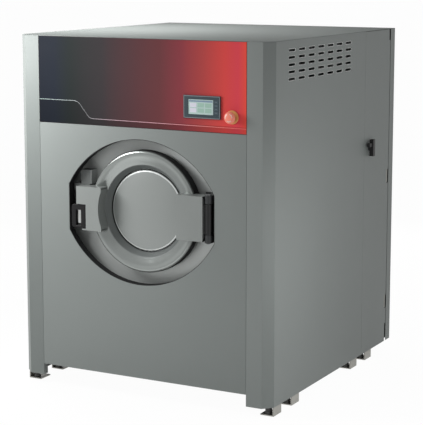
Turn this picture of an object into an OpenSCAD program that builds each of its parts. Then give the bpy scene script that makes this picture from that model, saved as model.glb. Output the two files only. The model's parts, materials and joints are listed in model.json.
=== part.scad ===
// Soft-mount washer-extractor. +X is right seen from the front, the front faces -Y, +Z is up.
// The origin is the centre of the floor anchor pattern, at floor level.

/* [Cabinet] */
// Width across the side panels
body_w = 1000; // [940:10:1100]
// Depth from the front panel to the rear panel
body_d = 1080; // [1060:10:1160]
// Height from the floor to the top cover
body_h = 1258; // [1236:2:1320]
// Sheet of the panels
sheet_t = 1.5; // [1:0.5:2]
// Leg of the 45 degree corner chamfer
corner_leg = 32; // [24:1:36]
// Flat front face of each corner
corner_face = 58; // [50:1:64]
// Gap between the floor and the side panels
side_clear = 32; // [26:1:38]
// Gap between the floor and the front panel
front_clear = 73; // [60:1:90]
// Height of the control fascia
fascia_h = 305; // [296:1:312]
// Gap at each panel seam
seam = 0.8; // [0.6:0.1:0.9]
// Depth of the folded panel edges
fold = 16; // [12:1:18]
// Depth of the front top cover
top_front_d = 330; // [250:10:450]
// Depth of the side returns of the rear panel
rear_return = 42; // [41:1:43]

/* [Floor fixing] */
// Distance from the front panel back to the middle of the anchor pattern
anchor_mid = 480; // [475:1:485]
// Half spacing of the outer anchors, front to back
anchor_outer = 400; // [396:1:401]
// Half spacing of the inner anchors, front to back
anchor_inner = 258; // [240:1:270]
// Plate of the foot brackets
bracket_t = 4; // [3:0.5:5]
// Length of a foot bracket, front to back
bracket_len = 60; // [54:1:62]
// Width of the bracket's floor flange
bracket_flange = 50; // [46:1:54]
// Diameter of an anchor hole
anchor_d = 13; // [11:1:16]
// Diameter of a levelling foot
foot_d = 24; // [20:1:28]
// Diameter of a levelling stud
stud_d = 16; // [12:1:18]

/* [Frame] */
// Height of the base channels above the floor
base_z = 40; // [38:1:44]
// Height of the base channels
base_h = 60; // [54:1:64]
// Width of the base channels
base_w = 50; // [44:1:56]
// Wall of the base channels
base_wall = 4; // [3:0.5:5]
// Leg of the upright and rail angles
angle_w = 38; // [32:1:40]
// Wall of the upright and rail angles
angle_t = 3; // [2:0.5:4]

/* [Door opening] */
// Height of the drum axis
axis_z = 660; // [655:1:665]
// Radius of the cut-out's arcs
cut_r = 330; // [325:1:340]
// How far the arcs' centres stand above and below the drum axis
cut_offset = 76; // [66:1:80]
// Half width of the cut-out at its upright sides
cut_half_w = 290; // [289:1:295]

/* [Door] */
// Outer radius of the door ring
ring_r = 212; // [208:1:214]
// Depth of the ring's front edge behind the front panel
ring_front = 20; // [18:1:24]
// Radius where the dished face meets the inner cone
dish_r = 162; // [158:1:166]
// Depth of the dished face at its inner edge
dish_depth = 32; // [29:1:36]
// Inner radius of the ring at its back
eye_r = 146; // [143:1:148]
// Depth of the glass seat behind the front panel
seat_depth = 58; // [56:1:60]
// Wall of the door ring
ring_wall = 6; // [4:0.5:7]
// Radius of the window cover
cover_r = 141; // [136:1:142]
// Thickness of the door glass
glass_t = 8; // [6:1:10]
// How far the glass bowl reaches behind its flange
bowl_deep = 110; // [90:5:120]
// Height of the hinge and lock plates
plate_h = 154; // [150:1:158]
// Half width to the outer end of the hinge and lock plates
plate_end = 251; // [249:1:252]
// How far the hinge and lock plates stand proud of the front panel
plate_proud = 14; // [12:1:15]
// Wall of the hinge and lock plates
plate_wall = 4; // [3:0.5:5]
// Distance of the hinge pin from the machine's middle
hinge_x = 266; // [266:0.5:267]
// Depth of the hinge pin behind the front panel
hinge_depth = 2; // [0:0.5:2.5]
// Radius of the hinge knuckles
knuckle_r = 12; // [10:0.5:12.5]
// Diameter of the door hinge pin
hinge_pin_d = 12; // [8:1:14]
// Running clearance round pins and shafts
run_fit = 0.05; // [0.02:0.01:0.08]
// Width of the handle
handle_w = 52; // [48:1:54]
// Height of the handle
handle_h = 83; // [78:1:86]
// Thickness of the handle
handle_t = 16; // [12:1:18]
// Diameter of the handle pin
handle_pin_d = 6; // [4:1:8]

/* [Tub and drum] */
// Outer radius of the tub
tub_r = 405; // [400:1:408]
// Sheet of the tub
tub_t = 3; // [2:0.5:4]
// Depth of the tub's front plate
tub_front = 107; // [104:1:112]
// Depth of the tub's back plate
tub_back = 640; // [636:1:650]
// Outer radius of the loading ring
load_r = 335; // [330:1:338]
// Depth of the loading ring's face
load_depth = 70; // [68:1:73]
// Radius of the loading throat
throat_r = 190; // [188:1:193]
// Gap between the drum and the tub
drum_gap = 30; // [25:1:36]
// Sheet of the drum
drum_t = 3; // [2:0.5:4]
// Number of lifters
lifter_n = 3; // [2:1:4]
// Height of a lifter
lifter_h = 72; // [50:1:76]
// Radius of the drum shaft
shaft_r = 30; // [26:1:34]
// Outer radius of the drum bearings
bearing_r = 55; // [50:1:60]
// Width of a drum bearing
bearing_w = 22; // [18:1:26]
// Radius of the drum pulley
pulley_r = 200; // [180:1:210]
// Width of the belt
belt_w = 36; // [30:1:38]
// Thickness of the belt
belt_t = 8; // [5:1:9]

/* [Motor] */
// Motor axis, left of the drum axis
motor_x = 270; // [266:1:274]
// Height of the motor axis
motor_z = 222; // [218:1:224]
// Radius of the motor housing
motor_r = 100; // [90:1:102]
// Length of the motor housing
motor_len = 220; // [180:5:235]
// Radius of the motor shaft
rotor_r = 19; // [14:1:24]
// Radius of the motor pulley
motor_pulley_r = 60; // [50:1:66]

/* [Suspension] */
// Distance of the springs from the machine's middle
spring_x = 425; // [424:0.5:426]
// Outer radius of a spring
spring_r = 34; // [28:1:36]
// Room between the tub and the yokes' lower edge
yoke_room = 30; // [26:1:34]
// Side of the square cradle beams
beam_w = 50; // [44:1:52]
// Thickness of the tub yokes
yoke_t = 12; // [8:1:14]
// Distance of the dampers from the machine's middle
damper_x = 330; // [322:1:340]
// Radius of a damper body
damper_r = 18; // [15:1:22]
// Radius of a damper rod
rod_r = 7; // [5:1:9]

/* [Controls] */
// Width of the display bezel
bezel_w = 139; // [130:1:145]
// Height of the display bezel
bezel_h = 77; // [72:1:84]
// Middle of the display from the right side
bezel_side = 255.5; // [250:0.5:270]
// Height of the bezel's middle above the fascia's lower edge
bezel_up = 83.5; // [80:0.5:107]
// Width of the display
display_w = 93.5; // [86:0.5:95]
// Height of the display
display_h = 50; // [46:0.5:54]
// How far the bezel stands proud of the fascia
bezel_proud = 5; // [4:0.5:8]
// Middle of the stop button from the right side
stop_side = 143; // [135:1:150]
// Height of the emergency stop above the fascia's lower edge
stop_up = 55; // [49:1:67]
// Diameter of the emergency stop's head
stop_d = 40; // [36:1:44]
// Travel of the emergency stop
stop_travel = 5; // [4:0.5:6]

/* [Side panels] */
// Depth of the seam in front of the service door
service_front = 790; // [780:1:796]
// Middle of the first louvre column, behind the front panel
louvre_first = 154; // [140:1:170]
// Spacing of the louvre columns
louvre_pitch = 79; // [74:1:82]
// Number of louvre columns
louvre_cols = 7; // [5:1:7]
// Height of the lowest louvre row below the top edge
louvre_drop = 130; // [128:1:148]
// Spacing of the louvre rows
louvre_row = 24; // [20:1:25]
// Number of louvre rows
louvre_rows = 5; // [3:1:5]
// Width of a louvre
louvre_w = 54; // [40:1:60]
// Height of a louvre's slot
louvre_h = 12; // [9:1:14]
// Height of the turn latch
latch_z = 822; // [810:1:840]
// Distance of the turn latch behind the service seam
latch_back = 48; // [44:1:50]
// Length of the latch's grip
grip_len = 63; // [56:1:70]

/* [Services] */
// Radius of the drain pipe
drain_r = 37.5; // [34:0.5:38]
// Middle of the drain pipe below the tub
drain_drop = 80; // [79:1:83]
// Radius of the vent pipe
vent_r = 30; // [24:1:34]
// Radius of a water inlet's G3/4 thread
inlet_r = 13.2; // [12:0.1:14]
// Number of water inlets
inlet_n = 3; // [2:1:3]
// Wall of the pipes and hoses
pipe_t = 4; // [3:0.5:5]

/* [Hidden] */
$fn = 96;

// Faces of the machine
front_y = -anchor_mid;
half_w = body_w / 2;
top_z = body_h - sheet_t;
fascia_z = body_h - fascia_h;
face_half = half_w - corner_leg - corner_face;
chamfer_x = half_w - corner_leg;
mitre = tan(22.5);
frame_x = half_w - sheet_t - bracket_t - 0.5;
base_top = base_z + base_h;
touch = 0.2;
slack = 0.3;
drum_r = tub_r - drum_gap;
louvre_z = body_h - louvre_drop;
drain_z = axis_z - tub_r - drain_drop;
bezel_x = half_w - bezel_side;
stop_x = half_w - stop_side;
bezel_z = fascia_z + bezel_up;
stop_z = fascia_z + stop_up;
yoke_low = axis_z - tub_r - yoke_room;
beam_z = yoke_low + 75;

// Front and rear of the base, and its two cross beams, measured from the front panel
base_start = corner_leg + 2;
base_front = 60;
base_rear = body_d - 40;
beam_depths = [166, 520];
cross_w = 80;
yoke_depths = [beam_depths[0] + cross_w / 2 - yoke_t / 2, beam_depths[1] + cross_w / 2 - yoke_t / 2];
spring_depths = [190, 770];
cradle_front = 140;
cradle_rear = 830;
pulley_depth = 880;

// Places a drawing in X and Z between two depths behind the front panel
module slab(from, to) {
    translate([0, front_y + to, 0])
        rotate([90, 0, 0])
            linear_extrude(to - from)
                children();
}

// A box from its sides in X, depth and Z
module block(x0, x1, d0, d1, z0, z1) {
    translate([x0, front_y + d0, z0])
        cube([x1 - x0, d1 - d0, z1 - z0]);
}

// Turns a profile of radius and depth round a line along Y
module turned(x, z) {
    translate([x, front_y, z])
        rotate([-90, 0, 0])
            rotate_extrude()
                children();
}

// A cylinder along Y between two depths
module rod_y(x, z, r, d0, d1) {
    translate([x, front_y + d0, z])
        rotate([-90, 0, 0])
            cylinder(r = r, h = d1 - d0);
}

// An upright cylinder at a depth
module rod_z(x, depth, r, z0, z1) {
    translate([x, front_y + depth, z0])
        cylinder(r = r, h = z1 - z0);
}

// A cylinder along X at a depth
module rod_x(depth, z, r, x0, x1) {
    translate([x0, front_y + depth, z])
        rotate([0, 90, 0])
            cylinder(r = r, h = x1 - x0);
}

module both_sides() {
    children();
    mirror([1, 0, 0]) children();
}

// Base frame of channels, with a cross beam under each yoke
module base_frame() {
    color("dimgray") {
        difference() {
            union() {
                both_sides() {
                    difference() {
                        block(frame_x - base_w, frame_x, base_start, body_d - 4, base_z, base_top);
                        block(
                            frame_x - base_w - 1, frame_x - base_wall,
                            base_start - 1, body_d - 4 + 1, base_z + base_wall, base_top - base_wall
                        );
                    }
                    for (d = spring_depths)
                        block(spring_x - spring_r - 6, frame_x, d - spring_r - 6, d + spring_r + 6,
                            base_top - base_wall, base_top);
                }
                cross_channel(base_front, base_w);
                for (d = beam_depths)
                    cross_channel(d, cross_w);
                cross_channel(base_rear - base_w, base_w);
            }
            at_feet()
                cylinder(d = stud_d + 1, h = base_z + base_h / 2);
            block(-drain_r - 3, drain_r + 59, motor_front, body_d, drain_z - drain_r - 3, drain_z);
        }
    }
}

cross_z = max(base_z, front_clear);
module cross_channel(depth, width) {
    low = depth < beam_depths[0] ? cross_z - 8 : base_z;
    difference() {
        block(base_w - frame_x, frame_x - base_w, depth, depth + width, low, base_top);
        block(
            base_w - frame_x - 1, frame_x - base_w + 1,
            depth + base_wall, depth + width - base_wall, low - 1, base_top - base_wall
        );
    }
}

anchor_depths = [
    anchor_mid - anchor_outer, anchor_mid - anchor_inner,
    anchor_mid + anchor_inner, anchor_mid + anchor_outer
];
bracket_x = frame_x + bracket_t;
anchor_x = bracket_x - bracket_flange / 2;
anchor_back = bracket_len / 2 - anchor_d / 2 - 7;
foot_back = -bracket_len / 2 + foot_d / 2 + 2;

// Puts a piece at each levelling foot
module at_feet() {
    both_sides()
        for (d = anchor_depths)
            translate([anchor_x, front_y + d + foot_back - anchor_back, 0])
                children();
}

// Zinc angle brackets between the base channel and the floor, each with an anchor hole
module foot_brackets() {
    color("silver")
        both_sides()
            for (d = anchor_depths)
                foot_bracket(d - anchor_back);
}

module foot_bracket(mid) {
    difference() {
        union() {
            block(bracket_x - bracket_flange, bracket_x, mid - bracket_len / 2, mid + bracket_len / 2,
                0, bracket_t);
            block(frame_x, bracket_x, mid - bracket_len / 2, mid + bracket_len / 2,
                0, base_z + base_h * 0.8);
        }
        rod_z(anchor_x, mid + anchor_back, anchor_d / 2, -1, bracket_t + 1);
    }
}

// Black levelling feet, each on its stud, standing on the bracket's floor flange
module levelling_feet() {
    pad_h = base_z - bracket_t - 4;
    color("black")
        at_feet() {
            translate([0, 0, bracket_t])
                cylinder(d = foot_d, h = pad_h);
            translate([0, 0, bracket_t + pad_h])
                cylinder(d = stud_d, h = 34);
            translate([0, 0, base_z + base_wall])
                cylinder(d = stud_d * 1.6, h = 8);
        }
}

upright_front = corner_leg + 8;
upright_rear = body_d - sheet_t - 0.5;

// Corner uprights and top rails
module cabinet_frame() {
    color("gray") {
        both_sides() {
            upright(upright_front, 1);
            upright(upright_rear, -1);
            side_rail();
        }
        end_rail(upright_front, 1);
        end_rail(upright_rear, -1);
    }
}

module upright(depth, way) {
    near = min(depth, depth + way * angle_w);
    flat = min(depth, depth + way * angle_t);
    block(frame_x - angle_t, frame_x, near, near + angle_w, base_top, top_z);
    block(frame_x - angle_w, frame_x, flat, flat + angle_t, base_top, top_z);
}

module side_rail() {
    from = upright_front + angle_w + touch;
    to = upright_rear - angle_w - touch;
    block(frame_x - angle_t, frame_x, from, to, top_z - angle_w, top_z);
    block(frame_x - angle_w, frame_x, from, to, top_z - angle_t, top_z);
}

module end_rail(depth, way) {
    near = min(depth, depth + way * angle_w);
    flat = min(depth, depth + way * angle_t);
    end = frame_x - angle_w - touch;
    block(-end, end, near, near + angle_w, top_z - angle_t, top_z);
    block(-end, end, flat, flat + angle_t, top_z - angle_w, top_z);
}

// Plan of a side panel with its front return and corner chamfer
module side_plan(to) {
    in_x = half_w - sheet_t;
    polygon([
        [face_half, fold + 8],
        [face_half, 0],
        [chamfer_x, 0],
        [half_w, corner_leg],
        [half_w, to],
        [in_x, to],
        [in_x, corner_leg + mitre * sheet_t],
        [chamfer_x - mitre * sheet_t, sheet_t],
        [face_half + sheet_t, sheet_t],
        [face_half + sheet_t, fold + 8]
    ]);
}

fold_low = base_top + 4;
fold_high = top_z - angle_w - 4;

// Side panel with rows of vent slots and a rear fold between the base and the top rail
module side_panel(to) {
    difference() {
        union() {
            translate([0, front_y, side_clear])
                linear_extrude(top_z - side_clear)
                    side_plan(to);
            block(half_w - fold, half_w - sheet_t / 2, to - sheet_t, to, fold_low, fold_high);
        }
        at_louvres()
            translate([-sheet_t - 1, -louvre_w / 2, -louvre_h / 2])
                cube([sheet_t + 2, louvre_w, louvre_h]);
    }
}

module at_louvres() {
    for (i = [0 : louvre_cols - 1], j = [0 : louvre_rows - 1])
        translate([half_w, front_y + louvre_first + i * louvre_pitch, louvre_z + j * louvre_row])
            children();
}

module left_side_panel() {
    color([0.55, 0.57, 0.56])
        mirror([1, 0, 0])
            side_panel(body_d - rear_return - seam);
}

module right_side_panel() {
    color([0.55, 0.57, 0.56])
        side_panel(service_front - seam);
}

vent_x = -230;
vent_z = axis_z + 220;
inlet_z = top_z - 110;
inlet_pitch = 80;
inlet_x = 150;
gland_x = -280;
gland_z = top_z - 200;
gland_r = 12;

module at_inlets() {
    for (i = [0 : inlet_n - 1])
        translate([inlet_x + i * inlet_pitch, 0, 0])
            children();
}

hole_play = 1.5;

// Rear panel with side returns and the holes for the services
module rear_panel() {
    color([0.5, 0.52, 0.51])
        difference() {
            union() {
                block(-half_w, half_w, body_d - sheet_t, body_d, side_clear, top_z);
                both_sides()
                    block(half_w - sheet_t, half_w, body_d - rear_return, body_d, side_clear, top_z);
            }
            rod_y(0, drain_z, drain_r + hole_play, body_d - 5, body_d + 5);
            rod_y(vent_x, vent_z, vent_r + hole_play, body_d - 5, body_d + 5);
            rod_y(gland_x, gland_z, gland_r + slack, body_d - 5, body_d + 5);
            at_inlets()
                rod_y(0, inlet_z, inlet_r + hole_play, body_d - 5, body_d + 5);
        }
}

// The lens-shaped cut-out round the door, cut off by an upright line at each side
module cut_outline(grow) {
    intersection() {
        translate([0, axis_z - cut_offset])
            circle(r = cut_r + grow, $fn = 180);
        translate([0, axis_z + cut_offset])
            circle(r = cut_r + grow, $fn = 180);
        translate([-cut_half_w - grow, axis_z - cut_r])
            square([2 * (cut_half_w + grow), 2 * cut_r]);
    }
}

module front_panel() {
    edge = face_half - seam;
    top = fascia_z - seam / 2;
    cut_return = 10;
    color([0.58, 0.6, 0.6])
        difference() {
            union() {
                difference() {
                    block(-edge, edge, 0, fold, front_clear, top);
                    block(sheet_t - edge, edge - sheet_t, sheet_t, fold + 1,
                        front_clear + sheet_t, top - sheet_t);
                }
                slab(0, cut_return) cut_outline(sheet_t);
            }
            slab(-1, cut_return + 1) cut_outline(0);
        }
}

film_t = 1;
film_inset = 1;
bezel_cut_w = bezel_w - 10;
bezel_cut_h = bezel_h - 10;
stop_hole_r = 11.2;

// Folded fascia tray behind the printed film
module control_fascia() {
    edge = face_half - seam;
    low = fascia_z + seam / 2;
    color([0.45, 0.1, 0.12])
        difference() {
            block(-edge, edge, film_t, film_t + fold, low, top_z);
            block(sheet_t - edge, edge - sheet_t, film_t + sheet_t, film_t + fold + 1,
                low + sheet_t, top_z - sheet_t);
            fascia_holes(film_t - 1, film_t + sheet_t + 1);
        }
}

module fascia_holes(from, to) {
    block(bezel_x - bezel_cut_w / 2, bezel_x + bezel_cut_w / 2, from, to,
        bezel_z - bezel_cut_h / 2, bezel_z + bezel_cut_h / 2);
    rod_y(stop_x, stop_z, stop_hole_r, from, to);
}

module fascia_film() {
    edge = face_half - seam - film_inset;
    color([0.55, 0.08, 0.1])
        difference() {
            block(-edge, edge, 0, film_t, fascia_z + seam / 2 + film_inset, top_z - film_inset);
            fascia_holes(-1, film_t + 1);
        }
}

// Plan of the top covers, with the front corners cut at 45 degrees
module top_plan() {
    polygon([
        [-chamfer_x, 0],
        [chamfer_x, 0],
        [half_w, corner_leg],
        [half_w, body_d],
        [-half_w, body_d],
        [-half_w, corner_leg]
    ]);
}

module top_cover(from, to) {
    lip = 12;
    inner = frame_x - angle_w - 4;
    intersection() {
        translate([0, front_y, top_z])
            linear_extrude(sheet_t)
                top_plan();
        block(-half_w, half_w, from, to, top_z - 1, body_h + 1);
    }
    edge = to < body_d ? to - sheet_t : from;
    block(-inner, inner, edge, edge + sheet_t, top_z - lip, top_z);
}

module top_cover_front() {
    color([0.65, 0.67, 0.67])
        top_cover(0, top_front_d - seam / 2);
}

module top_cover_rear() {
    color([0.6, 0.62, 0.62])
        top_cover(top_front_d + seam / 2, body_d);
}

display_shift = -4;
pocket_t = 3;

// Display bezel with its housing behind the fascia
module display_bezel() {
    box_w = bezel_cut_w - 1;
    box_h = bezel_cut_h - 1;
    color([0.12, 0.13, 0.14])
        difference() {
            union() {
                block(bezel_x - bezel_w / 2, bezel_x + bezel_w / 2, -bezel_proud, 0,
                    bezel_z - bezel_h / 2, bezel_z + bezel_h / 2);
                block(bezel_x - box_w / 2, bezel_x + box_w / 2, 0, 42,
                    bezel_z - box_h / 2, bezel_z + box_h / 2);
            }
            display_box(0, -bezel_proud - 1, pocket_t - bezel_proud);
        }
}

module display_box(inset, from, to) {
    mid = bezel_x + display_shift;
    block(mid - display_w / 2 + inset, mid + display_w / 2 - inset, from, to,
        bezel_z - display_h / 2 + inset, bezel_z + display_h / 2 - inset);
}

module display_screen() {
    color([0.75, 0.78, 0.74])
        display_box(touch, 1 - bezel_proud, pocket_t - bezel_proud);
}

collar_t = 4;
collar_r = stop_d / 2 + 3;
barrel_back = 26;
plunger_r = 6;
nose_r = 4;
head_t = 14;
head_front = -(collar_t + stop_travel + 5 + head_t);

// Yellow collar, threaded barrel and nut of the emergency stop
module stop_collar() {
    color("gold")
        turned(stop_x, stop_z)
            polygon([
                [plunger_r + run_fit, -collar_t],
                [collar_r - 1, -collar_t],
                [collar_r, 1 - collar_t],
                [collar_r, 0],
                [stop_hole_r - 0.2, 0],
                [stop_hole_r - 0.2, film_t + sheet_t],
                [stop_hole_r + 5, film_t + sheet_t],
                [stop_hole_r + 5, film_t + sheet_t + 4],
                [stop_hole_r - 0.2, film_t + sheet_t + 4],
                [stop_hole_r - 0.2, barrel_back],
                [plunger_r + run_fit, barrel_back]
            ]);
}

module stop_contacts() {
    from = barrel_back;
    color("darkgreen")
        difference() {
            block(stop_x - 15, stop_x + 15, from, from + 36, stop_z - 21, stop_z + 21);
            rod_y(stop_x, stop_z, plunger_r + 1, from - 1, from + stop_travel + 8);
        }
}

module stop_plunger() {
    shoulder = head_front + head_t;
    color("dimgray")
        union() {
            rod_y(stop_x, stop_z, plunger_r, shoulder, barrel_back + 2);
            rod_y(stop_x, stop_z, nose_r, head_front + 4, shoulder);
        }
}

// Red mushroom head that twists on the plunger's nose
module stop_head() {
    r = stop_d / 2;
    color("red")
        turned(stop_x, stop_z)
            polygon([
                [0, head_front],
                [r * 0.55, head_front + 0.8],
                [r - 4, head_front + 2.6],
                [r - 1, head_front + 5],
                [r, head_front + 7],
                [r - 1, head_front + 9.5],
                [plunger_r + 4, head_front + head_t - 2],
                [plunger_r + 4, head_front + head_t - touch],
                [nose_r + run_fit, head_front + head_t - touch],
                [nose_r + run_fit, head_front + 4 - touch],
                [0, head_front + 4 - touch]
            ]);
}

// Closed sheet box on the rear panel for the drive and the control boards
module electrical_box() {
    wall = 2;
    deep = 130;
    back = body_d - sheet_t - touch;
    low = vent_z + vent_r + 20;
    high = top_z - angle_w - 20;
    left = gland_x - 150;
    right = gland_x + 150;
    color("silver") {
        difference() {
            block(left, right, back - deep, back, low, high);
            block(left + wall, right - wall, back - deep - 1, back - wall, low + wall, high - wall);
            rod_y(gland_x, gland_z, gland_r - 5, back - wall - 1, back + 1);
        }
        block(left, right, back - deep - wall - touch, back - deep - touch, low, high);
    }
}

manifold_r = 14;
manifold_drop = 40;
inlet_out = 20;
fill_r = 16;
fill_x = inlet_x + inlet_pitch;
fill_z = axis_z + 200;
fill_depth = body_d - 35;
stub_back = tub_back + 40;

// Solenoid water valves on a manifold, each with a threaded inlet through the rear panel
module inlet_valves() {
    inside = body_d - sheet_t;
    color("white")
        difference() {
            union() {
                at_inlets() {
                    rod_y(0, inlet_z, inlet_r, inside - 2, body_d + inlet_out);
                    rod_y(0, inlet_z, inlet_r + 8, inside - 50, inside);
                    rod_z(0, fill_depth, 17, inlet_z, inlet_z + 54);
                    rod_z(0, fill_depth, 12, inlet_z - manifold_drop, inlet_z);
                }
                rod_x(fill_depth, inlet_z - manifold_drop, manifold_r,
                    inlet_x - 20, inlet_x + (inlet_n - 1) * inlet_pitch + 20);
                rod_z(fill_x, fill_depth, fill_r - touch, inlet_z - manifold_drop - 34, inlet_z - manifold_drop);
            }
            at_inlets()
                rod_y(0, inlet_z, inlet_r - pipe_t, body_d - 5, body_d + inlet_out + 1);
        }
}

// Rubber hoses: fill hose with its bend up to the manifold, and the straight drain hose
module water_hoses() {
    outer = fill_r + pipe_t;
    bend = 60;
    start = stub_back + slack;
    top = inlet_z - manifold_drop - 20;
    color([0.15, 0.15, 0.16]) {
        difference() {
            rod_y(fill_x, fill_z, outer, start, fill_depth - bend);
            rod_y(fill_x, fill_z, fill_r, start - 1, fill_depth - bend + 1);
        }
        translate([fill_x, front_y + fill_depth - bend, fill_z + bend])
            rotate([0, 90, 0])
                rotate_extrude(angle = 90)
                    translate([bend, 0])
                        difference() {
                            circle(r = outer);
                            circle(r = fill_r);
                        }
        difference() {
            rod_z(fill_x, fill_depth, outer, fill_z + bend, top);
            rod_z(fill_x, fill_depth, fill_r, fill_z + bend - 1, top + 1);
        }
        difference() {
            rod_y(0, drain_z, drain_r + 3, drain_end + slack, outlet_start - touch);
            rod_y(0, drain_z, drain_r - pipe_t, drain_end, outlet_start);
        }
    }
}

drain_depth = yoke_depths[0] + (yoke_depths[1] - yoke_depths[0]) / 2;
drain_end = 700;
outlet_start = body_d - 70;
outlet_out = 50;
vent_out = 35;

// Pipe with a flange against the inside of the rear panel
module wall_pipe(x, z, r, from, to) {
    inside = body_d - sheet_t;
    difference() {
        union() {
            rod_y(x, z, r, from, to);
            rod_y(x, z, r + 14, inside - 3, inside);
        }
        rod_y(x, z, r - pipe_t, from - 1, to + 1);
    }
}

module drain_outlet() {
    color("gray")
        wall_pipe(0, drain_z, drain_r, outlet_start, body_d + outlet_out);
}

module vent_pipe() {
    color("gray")
        wall_pipe(vent_x, vent_z, vent_r, stub_back + slack, body_d + vent_out);
}

// Cable gland through the rear panel into the electrical box
module cable_gland() {
    color("black")
        difference() {
            union() {
                rod_y(gland_x, gland_z, gland_r, body_d - sheet_t, body_d + 22);
                rod_y(gland_x, gland_z, gland_r + 5, body_d, body_d + 6);
            }
            rod_y(gland_x, gland_z, gland_r - 5, body_d - 5, body_d + 30);
        }
}

// Button-head screws of the rear panel
module cover_screws() {
    rows = 5;
    step = (top_z - side_clear - 80) / (rows - 1);
    color("silver")
        both_sides()
            for (i = [0 : rows - 1])
                turned(half_w - 20, side_clear + 40 + i * step)
                    polygon([
                        [0, body_d], [6, body_d], [6, body_d + 1], [4, body_d + 3], [1.5, body_d + 3],
                        [1.5, body_d + 1.5], [0, body_d + 1.5]
                    ]);
}

service_rear = body_d - rear_return - 4.5;
pivot_x = half_w - sheet_t - 6.5;
pivot_depth = service_rear - 5.5;
leaf_r = 6;
leaf_pin = 3;
leaf_half = 25;
hinge_heights = [side_clear + 160, axis_z + 30];
latch_depth = service_front + latch_back;
latch_r = 8;

// Fixed leaves of the service door's hinges, with their pins
module service_hinges() {
    color("silver")
        for (z = hinge_heights) {
            difference() {
                union() {
                    rod_z(pivot_x, pivot_depth, leaf_r, z - leaf_half, z + leaf_half);
                    block(frame_x - angle_t - 3, frame_x - angle_t, pivot_depth, pivot_depth + 44,
                        z - leaf_half, z + leaf_half);
                }
                rod_z(pivot_x, pivot_depth, leaf_pin + run_fit, z - leaf_half - 1, z + leaf_half + 1);
            }
            rod_z(pivot_x, pivot_depth, leaf_pin, z - leaf_half - 30, z + leaf_half + 30);
        }
}

// Hinged rear part of the right side, opened for service
module service_door() {
    in_x = half_w - sheet_t;
    gap = 1;
    color([0.5, 0.52, 0.51])
        difference() {
            union() {
                block(in_x, half_w, service_front, service_rear, side_clear, top_z - gap);
                block(half_w - fold, half_w, service_front, service_front + sheet_t,
                    fold_low, fold_high);
                for (z = hinge_heights, way = [-1, 1])
                    translate([0, 0, z + way * (leaf_half + gap + 14)])
                        union() {
                            rod_z(pivot_x, pivot_depth, leaf_r, -14, 14);
                            block(pivot_x, in_x + 0.5, pivot_depth - 3, pivot_depth + 3, -14, 14);
                        }
            }
            for (z = hinge_heights) {
                block(in_x - 1, half_w + 1, pivot_depth - 12, service_rear + 1,
                    z - leaf_half - gap, z + leaf_half + gap);
                rod_z(pivot_x, pivot_depth, leaf_pin + run_fit, z - leaf_half - 40, z + leaf_half + 40);
            }
            rod_x(latch_depth, latch_z, latch_r + run_fit, in_x - 1, half_w + 1);
            block(in_x - 1, half_w + 1, pivot_depth - 4, service_rear + 1, side_clear - 1, fold_low);
            block(in_x - 1, half_w + 1, pivot_depth - 4, service_rear + 1, fold_high, top_z);
        }
}

// Quarter-turn latch: grip with a side arm outside, shaft and cam inside
module service_latch() {
    cam_x = half_w - fold - 8;
    out_x = half_w + slack;
    color("black")
        union() {
            rod_x(latch_depth, latch_z, latch_r, cam_x, half_w + 6);
            rod_x(latch_depth, latch_z, 13, out_x, half_w + 6);
            block(half_w + 5, half_w + 20, latch_depth - 9, latch_depth + 9,
                latch_z - grip_len / 2, latch_z + grip_len / 2);
            block(half_w + 5, half_w + 16, latch_depth - 34, latch_depth, latch_z + 5, latch_z + 19);
            block(cam_x, cam_x + 5, latch_depth - 9, latch_depth + 9, latch_z - latch_back - 2, latch_z);
        }
}

// Springs between the base and the cradle beams, as plain sleeves of the coils' outer size
module suspension_springs() {
    wire = 12;
    color("darkslategray")
        both_sides()
            for (d = spring_depths)
                difference() {
                    rod_z(spring_x, d, spring_r, base_top, beam_z - slack);
                    rod_z(spring_x, d, spring_r - wire, base_top - 1, beam_z);
                }
}

damper_top = yoke_low - 10;

module at_dampers() {
    both_sides()
        for (d = yoke_depths)
            translate([damper_x, front_y + d + yoke_t / 2, 0])
                children();
}

module damper_bodies() {
    color("black")
        at_dampers()
            difference() {
                translate([0, 0, base_top])
                    cylinder(r = damper_r, h = damper_top - base_top);
                translate([0, 0, base_top + 20])
                    cylinder(r = rod_r + run_fit, h = damper_top);
            }
}

module damper_rods() {
    color("silver")
        at_dampers()
            translate([0, 0, base_top + 50])
                cylinder(r = rod_r, h = yoke_low - base_top - 50);
}

// Tub shell with the drain hole at its lowest point
module tub_shell() {
    from = tub_front + tub_t;
    color([0.7, 0.71, 0.72])
        difference() {
            turned(0, axis_z)
                polygon([[tub_r - tub_t, from], [tub_r, from], [tub_r, tub_back], [tub_r - tub_t, tub_back]]);
            rod_z(0, drain_depth, drain_r - pipe_t, axis_z - tub_r - 10, axis_z - tub_r + 30);
        }
}

rim = 5;

// Front plate of the tub with the loading ring that stands forward round the throat
module tub_front_plate() {
    skirt = load_r - tub_t;
    lip = 27;
    color([0.72, 0.73, 0.74])
        turned(0, axis_z)
            polygon([
                [throat_r, load_depth],
                [load_r, load_depth],
                [load_r, tub_front],
                [tub_r + rim, tub_front],
                [tub_r + rim, tub_front + tub_t],
                [skirt, tub_front + tub_t],
                [skirt, load_depth + tub_t],
                [throat_r + tub_t, load_depth + tub_t],
                [throat_r + tub_t, load_depth + lip],
                [throat_r, load_depth + lip]
            ]);
}

back_t = 4;
spigot_r = bearing_r + 3;

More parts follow.
